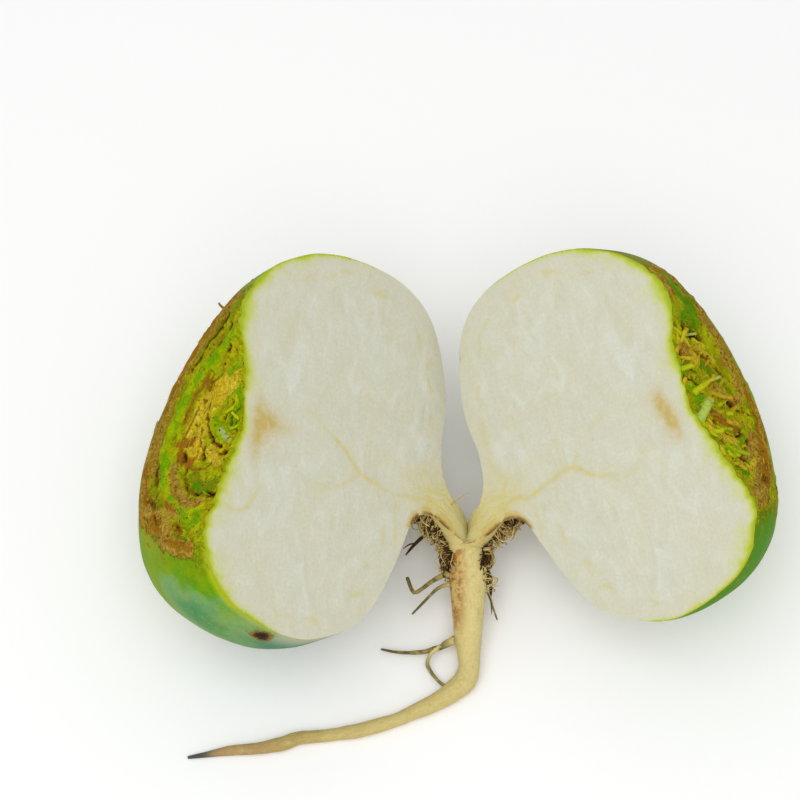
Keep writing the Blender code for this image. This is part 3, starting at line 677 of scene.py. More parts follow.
def buildSideRoot(number):
    points, thick, thin = sideRoots["lines"][number]
    line = evenly(points, sideRoots["step"])
    share = np.linspace(0.0, 1.0, len(line))
    radii = (thin + (thick - thin) * (0.45 * (1 - share) + 0.55 * (1 - share) ** 5)) / 2.0
    return buildTube(line, radii, sideRoots["sides"], 20 + number, ((2.0, 0.14), (0.8, 0.08)), 0.03, 1 + number)


# ---- joining, smoothing and dressing the body

def meshObject(name, points, faces, slots, materials):
    mesh = bpy.data.meshes.new(name)
    mesh.from_pydata([tuple(p) for p in points], [], faces)
    for material in materials:
        mesh.materials.append(material)
    mesh.polygons.foreach_set("material_index", slots)
    bm = bmesh.new()
    bm.from_mesh(mesh)
    bmesh.ops.recalc_face_normals(bm, faces=bm.faces[:])
    bm.to_mesh(mesh)
    bm.free()
    obj = bpy.data.objects.new(name, mesh)
    bpy.context.scene.collection.objects.link(obj)
    return obj


def uniteAll(base, others):
    bag = bpy.data.collections.new("grownTogether")
    for other in others:
        bag.objects.link(other)
    union = base.modifiers.new("grow", "BOOLEAN")
    union.operation = "UNION"
    union.operand_type = "COLLECTION"
    union.collection = bag
    union.solver = "MANIFOLD"
    joined = bpy.data.meshes.new_from_object(base.evaluated_get(bpy.context.evaluated_depsgraph_get()))
    base.modifiers.clear()
    base.data = joined
    for other in others:
        bpy.data.objects.remove(other, do_unlink=True)
    bpy.data.collections.remove(bag)


def keepOuterShell(bm):
    waiting, shells = set(bm.faces), []
    while waiting:
        border, shell = [waiting.pop()], []
        while border:
            face = border.pop()
            shell.append(face)
            near = {other for edge in face.edges for other in edge.link_faces} & waiting
            waiting -= near
            border.extend(near)
        shells.append(shell)
    shells.sort(key=len)
    bmesh.ops.delete(bm, geom=[face for shell in shells[:-1] for face in shell], context="FACES")


jointFinish = dict(reach=7.5, rounds=70, creaseRounds=25)


def relax(points, edges, weights, rounds):
    # each round draws a point towards the middle of its neighbours, by its weight
    count = np.bincount(edges.ravel(), minlength=len(points))[:, None]
    for _ in range(rounds):
        total = np.zeros_like(points)
        for axis in range(3):
            total[:, axis] = np.bincount(edges[:, 0], points[edges[:, 1], axis], len(points))
            total[:, axis] += np.bincount(edges[:, 1], points[edges[:, 0], axis], len(points))
        points = points + weights[:, None] * (total / count - points)
    return points


def buildBody(materials):
    sources = [("left",) + buildHalf("left"), ("right",) + buildHalf("right"), ("tapRoot",) + buildTapRoot()]
    sources += [(f"sideRoot{k}",) + buildSideRoot(k) for k in range(len(sideRoots["lines"]))]
    objects = [meshObject(name, points, faces, slots, materials) for name, points, _, faces, slots in sources]
    uniteAll(objects[0], objects[1:])
    body = objects[0]
    body.name = body.data.name = "turnipBody"
    known = np.concatenate([s[1] for s in sources])
    data = np.concatenate([s[2] for s in sources])
    tree = kdtree.KDTree(len(known))
    for k, spot in enumerate(known):
        tree.insert(spot, k)
    tree.balance()
    bm = bmesh.new()
    bm.from_mesh(body.data)
    keepOuterShell(bm)
    bm.verts.ensure_lookup_table()
    data = data[[tree.find(vert.co)[1] for vert in bm.verts]]
    bmesh.ops.triangulate(bm, faces=bm.faces[:])
    points = np.array([vert.co for vert in bm.verts])
    edges = np.array([[vert.index for vert in edge.verts] for edge in bm.edges])
    gap = np.linalg.norm(points - (joint + rootWay * 2.0), axis=1)
    inStrip = (data[:, 5] > 11.5) & (data[:, 5] < 13.0) & (data[:, 4] < 90.0) & (data[:, 2] < 0.4)
    blend = (1.0 - ease(gap, 3.5, jointFinish["reach"])) * np.where(inStrip, 0.04, 1.0)
    points = relax(points, edges, 0.55 * blend, jointFinish["rounds"])
    atChord = bell(data[:, 5], 12.05, 0.22) * (data[:, 2] < 0.4) * ease(data[:, 4], 0.2, 1.5)
    points = relax(points, edges, 0.5 * atChord, jointFinish["creaseRounds"])
    for vert, spot in zip(bm.verts, points):
        vert.co = spot
    bm.to_mesh(body.data)
    bm.free()
    return body, data


def dressBody(body, data):
    mesh = body.data
    points = np.empty(len(mesh.vertices) * 3)
    mesh.vertices.foreach_get("co", points)
    points = points.reshape(-1, 3)
    points[:, 2] = np.maximum(points[:, 2], 0.0)
    mesh.vertices.foreach_set("co", placed(points).ravel())
    spot = mesh.attributes.new("spot", "FLOAT_VECTOR", "POINT")
    spot.data.foreach_set("vector", data[:, 0:3].ravel())
    for k, name in enumerate(dataNames):
        if k > 2:
            mesh.attributes.new(name, "FLOAT", "POINT").data.foreach_set("value", data[:, k])
    paintMasks(mesh, data, points)
    mesh.shade_smooth()
    mesh.set_sharp_from_angle(angle=math.radians(62.0))
    mesh.update()


# ---- shader building blocks

def newMaterial(name):
    material = bpy.data.materials.new(name)
    material.use_nodes = True
    tree = material.node_tree
    return material, tree, tree.nodes["Principled BSDF"]


def feed(tree, socket, value):
    if isinstance(value, bpy.types.NodeSocket):
        tree.links.new(value, socket)
    elif value is not None:
        socket.default_value = value


def calc(tree, operation, first, second=None, third=None, clamp=False):
    node = tree.nodes.new("ShaderNodeMath")
    node.operation, node.use_clamp = operation, clamp
    for socket, value in zip(node.inputs, (first, second, third)):
        feed(tree, socket, value)
    return node.outputs[0]


def times(tree, *values):
    total = values[0]
    for value in values[1:]:
        total = calc(tree, "MULTIPLY", total, value)
    return total


def both(tree, first, second):
    return calc(tree, "ADD", first, second)


def less(tree, value):
    return calc(tree, "SUBTRACT", 1.0, value)


def span(tree, value, low, high, start=0.0, end=1.0):
    # eased from start to end as the value goes from low to high
    node = tree.nodes.new("ShaderNodeMapRange")
    node.interpolation_type = "SMOOTHSTEP"
    for name, number in zip(("Value", "From Min", "From Max", "To Min", "To Max"), (value, low, high, start, end)):
        feed(tree, node.inputs[name], number)
    return node.outputs["Result"]


def blend(tree, share, first, second, mode="MIX"):
    node = tree.nodes.new("ShaderNodeMix")
    node.data_type, node.blend_type, node.clamp_factor = "RGBA", mode, True
    feed(tree, node.inputs["Factor"], share)
    feed(tree, node.inputs[6], colour(first))
    feed(tree, node.inputs[7], colour(second))
    return node.outputs[2]


def colour(value):
    return (*value, 1.0) if isinstance(value, tuple) and len(value) == 3 else value


def own(tree, name, vector=False):
    node = tree.nodes.new("ShaderNodeAttribute")
    node.attribute_name = name
    return node.outputs["Vector" if vector else "Fac"]


def stretch(tree, vector, scale):
    node = tree.nodes.new("ShaderNodeMapping")
    feed(tree, node.inputs["Vector"], vector)
    node.inputs["Scale"].default_value = scale
    return node.outputs["Vector"]


def grain(tree, vector, size, detail=3.0, rough=0.55, twist=0.0):
    node = tree.nodes.new("ShaderNodeTexNoise")
    feed(tree, node.inputs["Vector"], vector)
    node.inputs["Scale"].default_value = 1.0 / size
    node.inputs["Detail"].default_value = detail
    node.inputs["Roughness"].default_value = rough
    node.inputs["Distortion"].default_value = twist
    return node.outputs["Fac"]


def dots(tree, vector, size, low, high):
    # round specks, about one to a cell of the given size
    node = tree.nodes.new("ShaderNodeTexVoronoi")
    feed(tree, node.inputs["Vector"], vector)
    node.inputs["Scale"].default_value = 1.0 / size
    return span(tree, node.outputs["Distance"], low, high, 1.0, 0.0)


def splitVector(tree, vector):
    node = tree.nodes.new("ShaderNodeSeparateXYZ")
    feed(tree, node.inputs[0], vector)
    return node.outputs


def joinVector(tree, x, y, z=0.0):
    node = tree.nodes.new("ShaderNodeCombineXYZ")
    for socket, value in zip(node.inputs, (x, y, z)):
        feed(tree, socket, value)
    return node.outputs[0]


def relief(tree, height, distance, strength=1.0):
    node = tree.nodes.new("ShaderNodeBump")
    node.inputs["Strength"].default_value = strength
    node.inputs["Distance"].default_value = distance
    feed(tree, node.inputs["Height"], height)
    return node.outputs["Normal"]


# ---- materials

def whiteLine(tree, across, side, broad):
    # the crown height at which the green of the skin gives way to white
    left = span(tree, across, -36.0, 0.0, 20.0, 3.0)
    right = span(tree, across, -36.0, 0.0, 7.0, 0.0)
    height = both(tree, left, calc(tree, "MULTIPLY", calc(tree, "SUBTRACT", right, left), span(tree, side, -0.5, 0.5)))
    return both(tree, height, span(tree, broad, 0.3, 0.7, -4.0, 4.0))


fleshLook = dict(
    ivory=(0.600, 0.600, 0.485),
    cream=(0.600, 0.582, 0.430),
    chalk=(0.655, 0.665, 0.590),
    dim=(0.565, 0.555, 0.415),
    neck=(0.640, 0.565, 0.225),
    fibre=(0.60, 0.46, 0.12),
    vein=(0.59, 0.505, 0.145),
    stain=(0.53, 0.405, 0.125),
    bleedPale=(0.545, 0.580, 0.150),
    bleed=(0.46, 0.53, 0.030),
    bleedDeep=(0.33, 0.42, 0.006),
    rust=(0.45, 0.20, 0.03),
    amber=(0.56, 0.40, 0.09),
    burnt=(0.16, 0.07, 0.012),
    roughness=0.45,
    specular=0.25,
    glow=0.10,
    glowDepth=0.0012,
)


def makeFlesh():
    look = fleshLook
    material, tree, shader = newMaterial("cutFlesh")
    spot, gap, meridian = own(tree, "spot", True), own(tree, "rimGap"), own(tree, "meridian")
    vein, stain, side = own(tree, "vein"), own(tree, "stain"), own(tree, "side")
    across, crown, _ = splitVector(tree, spot)
    broad = grain(tree, spot, 13.0, 3.0)
    mottle = grain(tree, spot, 3.2, 4.0, 0.6)
    fine = grain(tree, spot, 0.8, 3.0)
    streaks = grain(tree, stretch(tree, spot, (1.0, 0.16, 1.0)), 1.3, 4.0, 0.6, 0.6)
    wavy = grain(tree, stretch(tree, spot, (0.45, 1.0, 1.0)), 5.5, 3.0, 0.6, 1.2)
    base = blend(tree, span(tree, broad, 0.38, 0.66, 0.0, 0.8), look["ivory"], look["cream"])
    base = blend(tree, span(tree, mottle, 0.46, 0.72, 0.0, 0.35), base, look["chalk"])
    base = blend(tree, span(tree, wavy, 0.48, 0.70, 0.0, 0.6), base, look["chalk"])
    base = blend(tree, span(tree, wavy, 0.48, 0.30, 0.0, 0.6), base, look["dim"])
    base = blend(tree, span(tree, streaks, 0.52, 0.74, 0.0, 0.45), base, look["cream"])
    # a creamier bark under the skin, with its faint line
    wander = both(tree, gap, span(tree, grain(tree, spot, 9.0), 0.3, 0.7, -1.6, 1.6))
    base = blend(tree, span(tree, wander, 1.0, 8.0, 0.55, 0.0), base, look["cream"])
    line = times(tree, span(tree, wander, 4.2, 5.6), span(tree, wander, 5.6, 6.6, 1.0, 0.0),
                 span(tree, grain(tree, spot, 7.0), 0.45, 0.62), span(tree, meridian, 4.0, 5.5))
    base = blend(tree, calc(tree, "MULTIPLY", line, 0.42), base, look["vein"])
    # neck: yellow, with fibres running into the root
    nearNeck = span(tree, both(tree, meridian, calc(tree, "MULTIPLY", mottle, 1.2)), 10.9, 13.0)
    base = blend(tree, calc(tree, "MULTIPLY", nearNeck, 0.9), base, look["neck"])
    fibres = grain(tree, stretch(tree, spot, (1.0, 0.10, 1.0)), 0.55, 3.0, 0.6, 0.8)
    base = blend(tree, times(tree, nearNeck, span(tree, fibres, 0.50, 0.68, 0.0, 0.6)), base, look["fibre"])
    base = blend(tree, times(tree, nearNeck, span(tree, fibres, 0.46, 0.30, 0.0, 0.75)), base, look["ivory"])
    # veins and the brown heart below the crown
    base = blend(tree, calc(tree, "MULTIPLY", vein, span(tree, grain(tree, spot, 1.6), 0.3, 0.7, 0.4, 0.95)),
                 base, look["vein"])
    base = blend(tree, calc(tree, "MULTIPLY", stain, span(tree, grain(tree, spot, 1.9, 4.0), 0.3, 0.65, 0.6, 1.0)),
                 base, look["stain"])
    # green from the skin, wide at the crown and a thin line lower down
    below = both(tree, whiteLine(tree, across, side, broad), -5.0)
    greenness = span(tree, calc(tree, "SUBTRACT", crown, below), -5.0, 5.0)
    wide = times(tree, span(tree, meridian, 0.6, 2.2, 1.3, 2.3), span(tree, meridian, 3.2, 6.5, 1.0, 0.3),
                 span(tree, side, -0.5, 0.5, 1.0, 0.95))
    ragged = both(tree, span(tree, grain(tree, spot, 8.0, 3.0), 0.32, 0.68, 0.45, 1.35), span(tree, mottle, 0.3, 0.7, -0.08, 0.14))
    share = calc(tree, "DIVIDE", gap, calc(tree, "MULTIPLY", wide, ragged))
    halo = calc(tree, "POWER", span(tree, share, 0.0, 3.4, 1.0, 0.0), 1.8)
    base = blend(tree, times(tree, halo, greenness, 0.95), base, look["bleedPale"])
    base = blend(tree, times(tree, span(tree, share, 0.20, 1.20, 1.0, 0.0), greenness), base, look["bleed"])
    base = blend(tree, times(tree, span(tree, share, 0.10, 0.60, 1.0, 0.0), greenness, 0.95), base, look["bleedDeep"])
    # rusty edge over the hair roots
    rust = times(tree, span(tree, across, -6.2, -8.2), span(tree, gap, 0.3, 2.4, 1.0, 0.0),
                 span(tree, meridian, 11.2, 11.8), span(tree, both(tree, mottle, calc(tree, "MULTIPLY", fine, 0.4)), 0.52, 0.78))
    base = blend(tree, rust, base, look["rust"])
    singed = both(tree, own(tree, "singe"), span(tree, mottle, 0.3, 0.7, -0.30, 0.30))
    base = blend(tree, times(tree, span(tree, singed, 0.15, 0.70), span(tree, gap, 3.4, 0.6, 0.0, 0.75)), base, look["amber"])
    base = blend(tree, times(tree, span(tree, singed, 0.45, 0.85), span(tree, gap, 1.2, 0.2, 0.0, 0.9)), base, look["burnt"])
    shade = span(tree, fine, 0.2, 0.8, 0.96, 1.04)
    base = blend(tree, 1.0, base, joinVector(tree, shade, shade, shade), "MULTIPLY")
    feed(tree, shader.inputs["Base Color"], base)
    feed(tree, shader.inputs["Roughness"], span(tree, mottle, 0.3, 0.7, look["roughness"] - 0.08, look["roughness"] + 0.12))
    shader.inputs["Specular IOR Level"].default_value = look["specular"]
    shader.inputs["Subsurface Weight"].default_value = look["glow"]
    shader.inputs["Subsurface Radius"].default_value = (1.0, 0.9, 0.6)
    shader.inputs["Subsurface Scale"].default_value = look["glowDepth"]
    height = both(tree, calc(tree, "MULTIPLY", streaks, 0.4), calc(tree, "MULTIPLY", fine, 0.25))
    height = both(tree, height, times(tree, wavy, 0.5))
    height = both(tree, height, times(tree, nearNeck, fibres, 0.9))
    feed(tree, shader.inputs["Normal"], relief(tree, height, 0.0003, 0.8))
    return material


skinLook = dict(
    white=(0.56, 0.56, 0.42),
    # painted shade and a painted blue-green reflection on the underside, partly grey-green skin
    greyShade=(0.075, 0.220, 0.130),
    pale=(0.24, 0.40, 0.12),
    green=(0.115, 0.320, 0.001),
    deepGreen=(0.062, 0.235, 0.002),
    yellowGreen=(0.200, 0.320, 0.006),
    rim=(0.400, 0.460, 0.010),
    olive=(0.330, 0.300, 0.003),
    lime=(0.470, 0.560, 0.002),
    brightGreen=(0.220, 0.470, 0.002),
    straw=(0.700, 0.500, 0.006),
    strawPale=(0.82, 0.68, 0.06),
    gold=(0.560, 0.350, 0.006),
    cork=(0.360, 0.190, 0.010),
    corkPale=(0.540, 0.350, 0.035),
    crumb=(0.600, 0.390, 0.130),
    grit=(0.150, 0.062, 0.008),
    rust=(0.460, 0.165, 0.006),
    dark=(0.060, 0.022, 0.003),
    shadow=(0.230, 0.115, 0.005),
    palest=(0.52, 0.64, 0.22),
    black=(0.012, 0.016, 0.018),
    brownEdge=(0.180, 0.160, 0.020),
    oldSkin=(0.280, 0.200, 0.006),
    backGreen=(0.240, 0.340, 0.016),
    # painted shade on the lowest skin of the left half
    greyGreenShade=(0.080, 0.260, 0.125),
    bloom=(0.300, 0.440, 0.190),
    bark=(0.62, 0.51, 0.20),
    barkBrown=(0.42, 0.24, 0.05),
    speck=(0.16, 0.12, 0.02),
    roughness=0.5,
    specular=0.02,
)


def makeSkin():
    look = skinLook
    material, tree, shader = newMaterial("turnipSkin")
    spot, meridian, side = own(tree, "spot", True), own(tree, "meridian"), own(tree, "side")
    gap, soilAndShade = own(tree, "rimGap"), own(tree, "soilAndShade")
    mask = {name: own(tree, name) for name in ("cork", "rust", "straw", "lime", "green", "pale", "dark")}
    across, crown, depth = splitVector(tree, spot)
    broad, middling = grain(tree, spot, 11.0, 3.0), grain(tree, spot, 4.0, 4.0, 0.6)
    fine, tiny = grain(tree, spot, 1.3, 4.0, 0.62), grain(tree, spot, 0.45, 3.0)
    crumbs = grain(tree, spot, 0.75, 4.0, 0.7)
    distance = calc(tree, "SQRT", both(tree, times(tree, across, across), times(tree, depth, depth)))
    turn = calc(tree, "ARCTAN2", depth, across)
    warped = both(tree, distance, span(tree, grain(tree, spot, 7.0), 0.2, 0.8, -3.5, 3.5))
    rings = grain(tree, joinVector(tree, calc(tree, "MULTIPLY", turn, 3.0), calc(tree, "MULTIPLY", warped, 0.55), 0.0),
                  1.0, 4.0, 0.65, 0.4)
    threads = grain(tree, joinVector(tree, calc(tree, "MULTIPLY", turn, 5.0), calc(tree, "MULTIPLY", warped, 1.9), 3.0),
                    1.0, 4.0, 0.65, 0.8)
    # from the green shoulders down to the white foot
    greenness = span(tree, calc(tree, "SUBTRACT", crown, whiteLine(tree, across, side, broad)), -14.0, 11.0)
    # the underside: painted shade with a painted blue-green reflection from below, partly grey-green skin
    shadedUnderside = times(tree, span(tree, across, -26.0, -41.0), span(tree, side, 0.5, -0.5, 0.45, 1.0))
    base = blend(tree, span(tree, broad, 0.35, 0.7, 0.0, 0.6), look["white"], (0.60, 0.57, 0.36))
    base = blend(tree, times(tree, shadedUnderside, span(tree, gap, 0.0, 9.0, 0.35, 1.0)), base, look["greyShade"])
    base = blend(tree, span(tree, greenness, 0.0, 0.60), base, look["pale"])
    base = blend(tree, span(tree, greenness, 0.30, 0.95), base, look["green"])
    base = blend(tree, times(tree, greenness, span(tree, middling, 0.42, 0.68, 0.0, 0.75)), base, look["deepGreen"])
    base = blend(tree, times(tree, greenness, span(tree, broad, 0.50, 0.72, 0.0, 0.8)), base, look["yellowGreen"])
    base = blend(tree, times(tree, span(tree, gap, 12.0, 26.0, 0.0, 0.65), greenness), base, look["backGreen"])
    isRight = times(tree, span(tree, side, -0.5, 0.5), span(tree, gap, 30.0, 16.0))
    base = blend(tree, times(tree, isRight, greenness, 0.85), base, look["deepGreen"])
    base = blend(tree, times(tree, isRight, span(tree, gap, 14.0, 5.0, 0.0, 0.5), span(tree, across, -30.0, -24.0)), base,
                 look["oldSkin"])
    oldScar = times(tree, span(tree, warped, 42.0, 35.0, 0.0, 0.6), greenness, span(tree, across, -31.0, -25.0, 0.5, 1.0))
    base = blend(tree, times(tree, oldScar, less(tree, isRight)), base, look["olive"])
    base = blend(tree, times(tree, oldScar, isRight, span(tree, across, -31.0, -25.0)), base, look["oldSkin"])
    # down to the lowest skin of the left half: a paler band, then grey-green painted shade
    lower = both(tree, across, both(tree, span(tree, broad, 0.3, 0.7, -3.0, 3.0), times(tree, gap, -0.45)))
    low = times(tree, span(tree, lower, -41.0, -52.0), less(tree, isRight), span(tree, gap, 26.0, 16.0))
    base = blend(tree, times(tree, low, less(tree, low), greenness, 2.2), base, look["bloom"])
    base = blend(tree, times(tree, low, greenness, 0.75), base, look["greyGreenShade"])
    base = blend(tree, times(tree, isRight, greenness, span(tree, gap, 1.8, 0.4, 0.0, 0.6)), base, look["brownEdge"])
    # thin and bright along the cut
    rimShare = times(tree, span(tree, gap, 0.2, 2.2, 0.9, 0.0), less(tree, isRight), greenness)
    base = blend(tree, rimShare, base, look["rim"])
    base = blend(tree, times(tree, span(tree, gap, 0.0, 2.4, 0.6, 0.0), less(tree, greenness)), base, (0.46, 0.42, 0.20))
    # leaf scars
    ragged = both(tree, warped, span(tree, fine, 0.3, 0.7, -2.0, 2.0))
    scars = times(tree, span(tree, ragged, 27.0, 36.0, 1.0, 0.0), span(tree, crown, 12.0, 20.0))
    inner = blend(tree, span(tree, rings, 0.36, 0.60), look["olive"], look["lime"])
    inner = blend(tree, span(tree, middling, 0.48, 0.66, 0.0, 0.6), inner, look["straw"])
    inner = blend(tree, span(tree, threads, 0.55, 0.68, 0.0, 0.75), inner, look["cork"])
    inner = blend(tree, span(tree, threads, 0.42, 0.30, 0.0, 0.8), inner, look["brightGreen"])
    base = blend(tree, scars, base, inner)

    def patch(name, soft, low, high, first, second, how):
        # a painted mask broken up by grain, in two colours
        edge = span(tree, both(tree, mask[name], span(tree, fine, 0.25, 0.75, -soft, soft)), low, high)
        return blend(tree, edge, base, blend(tree, how, first, second)), edge

    base, _ = patch("green", 0.30, 0.15, 0.80, look["green"], look["olive"], span(tree, middling, 0.44, 0.62, 0.0, 0.8))
    base, _ = patch("lime", 0.20, 0.20, 0.70, look["brightGreen"], look["lime"], span(tree, middling, 0.42, 0.60))
    flaky = blend(tree, span(tree, middling, 0.50, 0.66, 0.0, 0.8), look["straw"], look["gold"])
    base, _ = patch("straw", 0.45, 0.20, 0.75, flaky, look["strawPale"], span(tree, threads, 0.44, 0.60))
    bark = blend(tree, span(tree, threads, 0.44, 0.62), look["corkPale"], look["cork"])
    bark = blend(tree, span(tree, middling, 0.55, 0.70, 0.0, 0.8), bark, look["olive"])
    bark = blend(tree, span(tree, crumbs, 0.54, 0.63, 0.0, 0.8), bark, look["crumb"])
    bark = blend(tree, span(tree, crumbs, 0.47, 0.36, 0.0, 0.9), bark, look["grit"])
    base, corky = patch("cork", 0.40, 0.30, 0.65, bark, look["rust"], span(tree, fine, 0.56, 0.66, 0.0, 0.7))
    base, _ = patch("rust", 0.45, 0.30, 0.80, look["rust"], look["cork"], span(tree, fine, 0.40, 0.55))
    base, _ = patch("pale", 0.10, 0.20, 0.80, look["palest"], look["lime"], span(tree, fine, 0.60, 0.75))
    nooks = times(tree, scars, span(tree, fine, 0.60, 0.72, 0.0, 0.75))
    base = blend(tree, nooks, base, look["cork"])
    pits = times(tree, scars, dots(tree, spot, 1.7, 0.12, 0.26), span(tree, middling, 0.42, 0.56))
    base = blend(tree, pits, base, look["grit"])
    freckles = times(tree, mask["straw"], span(tree, crumbs, 0.54, 0.66, 0.0, 0.8))
    base = blend(tree, freckles, base, look["rust"])
    # pits: a painted shadow round each and, inside, dark brown scar with painted shade; the black spot on the left half
    # goes black at its core
    hollow = both(tree, mask["dark"], span(tree, fine, 0.25, 0.75, -0.25, 0.25))
    base = blend(tree, span(tree, hollow, 0.10, 0.45, 0.0, 0.8), base, look["shadow"])
    base = blend(tree, span(tree, hollow, 0.50, 1.00), base, look["dark"])
    base = blend(tree, span(tree, hollow, 1.10, 1.45), base, look["black"])
    # specks and short scratches on the smooth skin
    speckled = times(tree, dots(tree, spot, 3.2, 0.08, 0.18), span(tree, middling, 0.50, 0.66))
    scratches = span(tree, grain(tree, stretch(tree, spot, (0.25, 1.0, 0.25)), 0.9, 2.0), 0.68, 0.76, 0.0, 0.5)
    marks = times(tree, both(tree, speckled, scratches), less(tree, scars), less(tree, corky), 0.6)
    base = blend(tree, marks, base, look["speck"])
    # bark of the neck, darkened among the hair roots with soil and painted shade
    toBark = span(tree, both(tree, meridian, calc(tree, "MULTIPLY", middling, 1.4)), 11.0, 13.0)
    base = blend(tree, toBark, base, look["bark"])
    base = blend(tree, times(tree, toBark, span(tree, fine, 0.54, 0.72, 0.0, 0.5)), base, look["barkBrown"])
    base = blend(tree, span(tree, both(tree, soilAndShade, span(tree, fine, 0.3, 0.7, -0.3, 0.3)), 0.35, 0.7), base, look["dark"])
    shade = span(tree, tiny, 0.2, 0.8, 0.88, 1.10)
    base = blend(tree, 1.0, base, joinVector(tree, shade, shade, shade), "MULTIPLY")
    feed(tree, shader.inputs["Base Color"], base)
    uneven = span(tree, both(tree, scars, corky), 0.0, 1.0)
    feed(tree, shader.inputs["Roughness"], span(tree, uneven, 0.0, 1.0, look["roughness"], 0.75))
    shader.inputs["Specular IOR Level"].default_value = look["specular"]
    rough = both(tree, times(tree, uneven, both(tree, fine, both(tree, threads, calc(tree, "MULTIPLY", tiny, 0.5)))),
                 calc(tree, "MULTIPLY", middling, 0.2))
    feed(tree, shader.inputs["Normal"], relief(tree, rough, 0.0011, 0.9))
    return material


rootLook = dict(
    cream=(0.680, 0.575, 0.250),
    tan=(0.580, 0.470, 0.175),
    tail=(0.430, 0.310, 0.100),
    pink=(0.400, 0.240, 0.110),
    tip=(0.085, 0.080, 0.070),
    rust=(0.320, 0.115, 0.010),
    amber=(0.560, 0.350, 0.080),
    olive=(0.130, 0.120, 0.030),
    dark=(0.035, 0.018, 0.005),
    specular=0.2,
)


def makeRoot():
    look = rootLook
    material, tree, shader = newMaterial("rootBark")
    spot, meridian, along, around = own(tree, "spot", True), own(tree, "meridian"), own(tree, "along"), own(tree, "around")
    soilAndShade = own(tree, "soilAndShade")
    x, y, z = splitVector(tree, spot)
    broad, middling, fine = grain(tree, spot, 9.0), grain(tree, spot, 2.6, 4.0, 0.6), grain(tree, spot, 0.8, 3.0)
    skinLines = grain(tree, joinVector(tree, calc(tree, "MULTIPLY", around, 1.6), calc(tree, "MULTIPLY", along, 0.16)),
                      0.42, 3.0, 0.6, 0.4)
    ringScars = grain(tree, joinVector(tree, calc(tree, "MULTIPLY", around, 0.45), along), 1.05, 3.0, 0.55, 0.2)
    isSide = span(tree, meridian, 14.4, 14.6)
    isMain = less(tree, isSide)
    base = blend(tree, span(tree, along, 12.0, 48.0), look["cream"], look["tan"])
    base = blend(tree, span(tree, along, 56.0, 86.0), base, look["tail"])
    base = blend(tree, span(tree, broad, 0.42, 0.68, 0.0, 0.5), base, look["tan"])
    base = blend(tree, span(tree, skinLines, 0.46, 0.70, 0.0, 0.4), base, look["cream"])
    base = blend(tree, times(tree, span(tree, skinLines, 0.46, 0.30, 0.0, 0.35), isMain), base, look["tail"])
    base = blend(tree, times(tree, span(tree, along, 82.0, 92.0), span(tree, middling, 0.35, 0.6, 0.2, 0.7)), base, look["pink"])
    base = blend(tree, span(tree, ringScars, 0.64, 0.76, 0.0, 0.55), base, look["tail"])
    # darker below, rusty bruises down the left shoulder
    low = times(tree, span(tree, x, -3.0, -6.0), span(tree, y, -30.0, -10.0))
    left = times(tree, span(tree, both(tree, x, calc(tree, "MULTIPLY", middling, 6.0)), 4.6, 0.4),
                 span(tree, y, -27.0, -14.0), isMain)
    base = blend(tree, times(tree, both(tree, left, low), 0.55), base, look["amber"])
    base = blend(tree, times(tree, left, span(tree, both(tree, middling, calc(tree, "MULTIPLY", fine, 0.5)), 0.64, 0.88)),
                 base, look["rust"])
    base = blend(tree, times(tree, span(tree, along, 98.0, 104.0), isMain), base, look["tip"])
    twig = blend(tree, span(tree, middling, 0.45, 0.68), look["olive"], look["tail"])
    base = blend(tree, times(tree, isSide, span(tree, along, 2.5, 9.0)), base, twig)
    # dark among the hair roots: soil and painted shade
    base = blend(tree, span(tree, both(tree, soilAndShade, span(tree, fine, 0.3, 0.7, -0.3, 0.3)), 0.4, 0.75), base, look["dark"])
    shade = span(tree, fine, 0.2, 0.8, 0.92, 1.06)
    base = blend(tree, 1.0, base, joinVector(tree, shade, shade, shade), "MULTIPLY")
    feed(tree, shader.inputs["Base Color"], base)
    feed(tree, shader.inputs["Roughness"], span(tree, middling, 0.3, 0.7, 0.45, 0.66))
    shader.inputs["Specular IOR Level"].default_value = look["specular"]
    height = both(tree, times(tree, ringScars, -0.8), times(tree, skinLines, 0.6))
    feed(tree, shader.inputs["Normal"], relief(tree, height, 0.0004, 0.7))
    shader.inputs["Subsurface Weight"].default_value = 0.05
    shader.inputs["Subsurface Radius"].default_value = (1.0, 0.7, 0.3)
    shader.inputs["Subsurface Scale"].default_value = 0.0008
    return material


hairLook = dict(
    pale=(0.66, 0.54, 0.22),
    tan=(0.42, 0.27, 0.07),
    # dark and brown: soil-stained hair roots, partly painted shade among them
    dark=(0.030, 0.014, 0.004),
    brown=(0.12, 0.055, 0.012),
)


def makeHair():
    look = hairLook
    material, tree, shader = newMaterial("hairRoot")
    tint = own(tree, "tint")
    where = tree.nodes.new("ShaderNodeTexCoord").outputs["Object"]
    fine = grain(tree, where, 0.0009, 3.0)
    base = blend(tree, span(tree, tint, 0.0, 0.3), look["dark"], look["brown"])
    base = blend(tree, span(tree, tint, 0.3, 0.6), base, look["tan"])
    base = blend(tree, span(tree, tint, 0.6, 0.95), base, look["pale"])
    base = blend(tree, times(tree, span(tree, fine, 0.52, 0.72, 0.0, 0.5), span(tree, tint, 0.4, 0.6)), base, look["tan"])
    feed(tree, shader.inputs["Base Color"], base)
    shader.inputs["Roughness"].default_value = 0.65
    shader.inputs["Specular IOR Level"].default_value = 0.15
    feed(tree, shader.inputs["Normal"], relief(tree, fine, 0.0001, 0.6))
    return material


stalkLook = dict(
    green=(0.26, 0.41, 0.006),
    pale=(0.42, 0.54, 0.13),
    lime=(0.46, 0.50, 0.004),
    straw=(0.54, 0.40, 0.015),
    brown=(0.26, 0.14, 0.010),
)


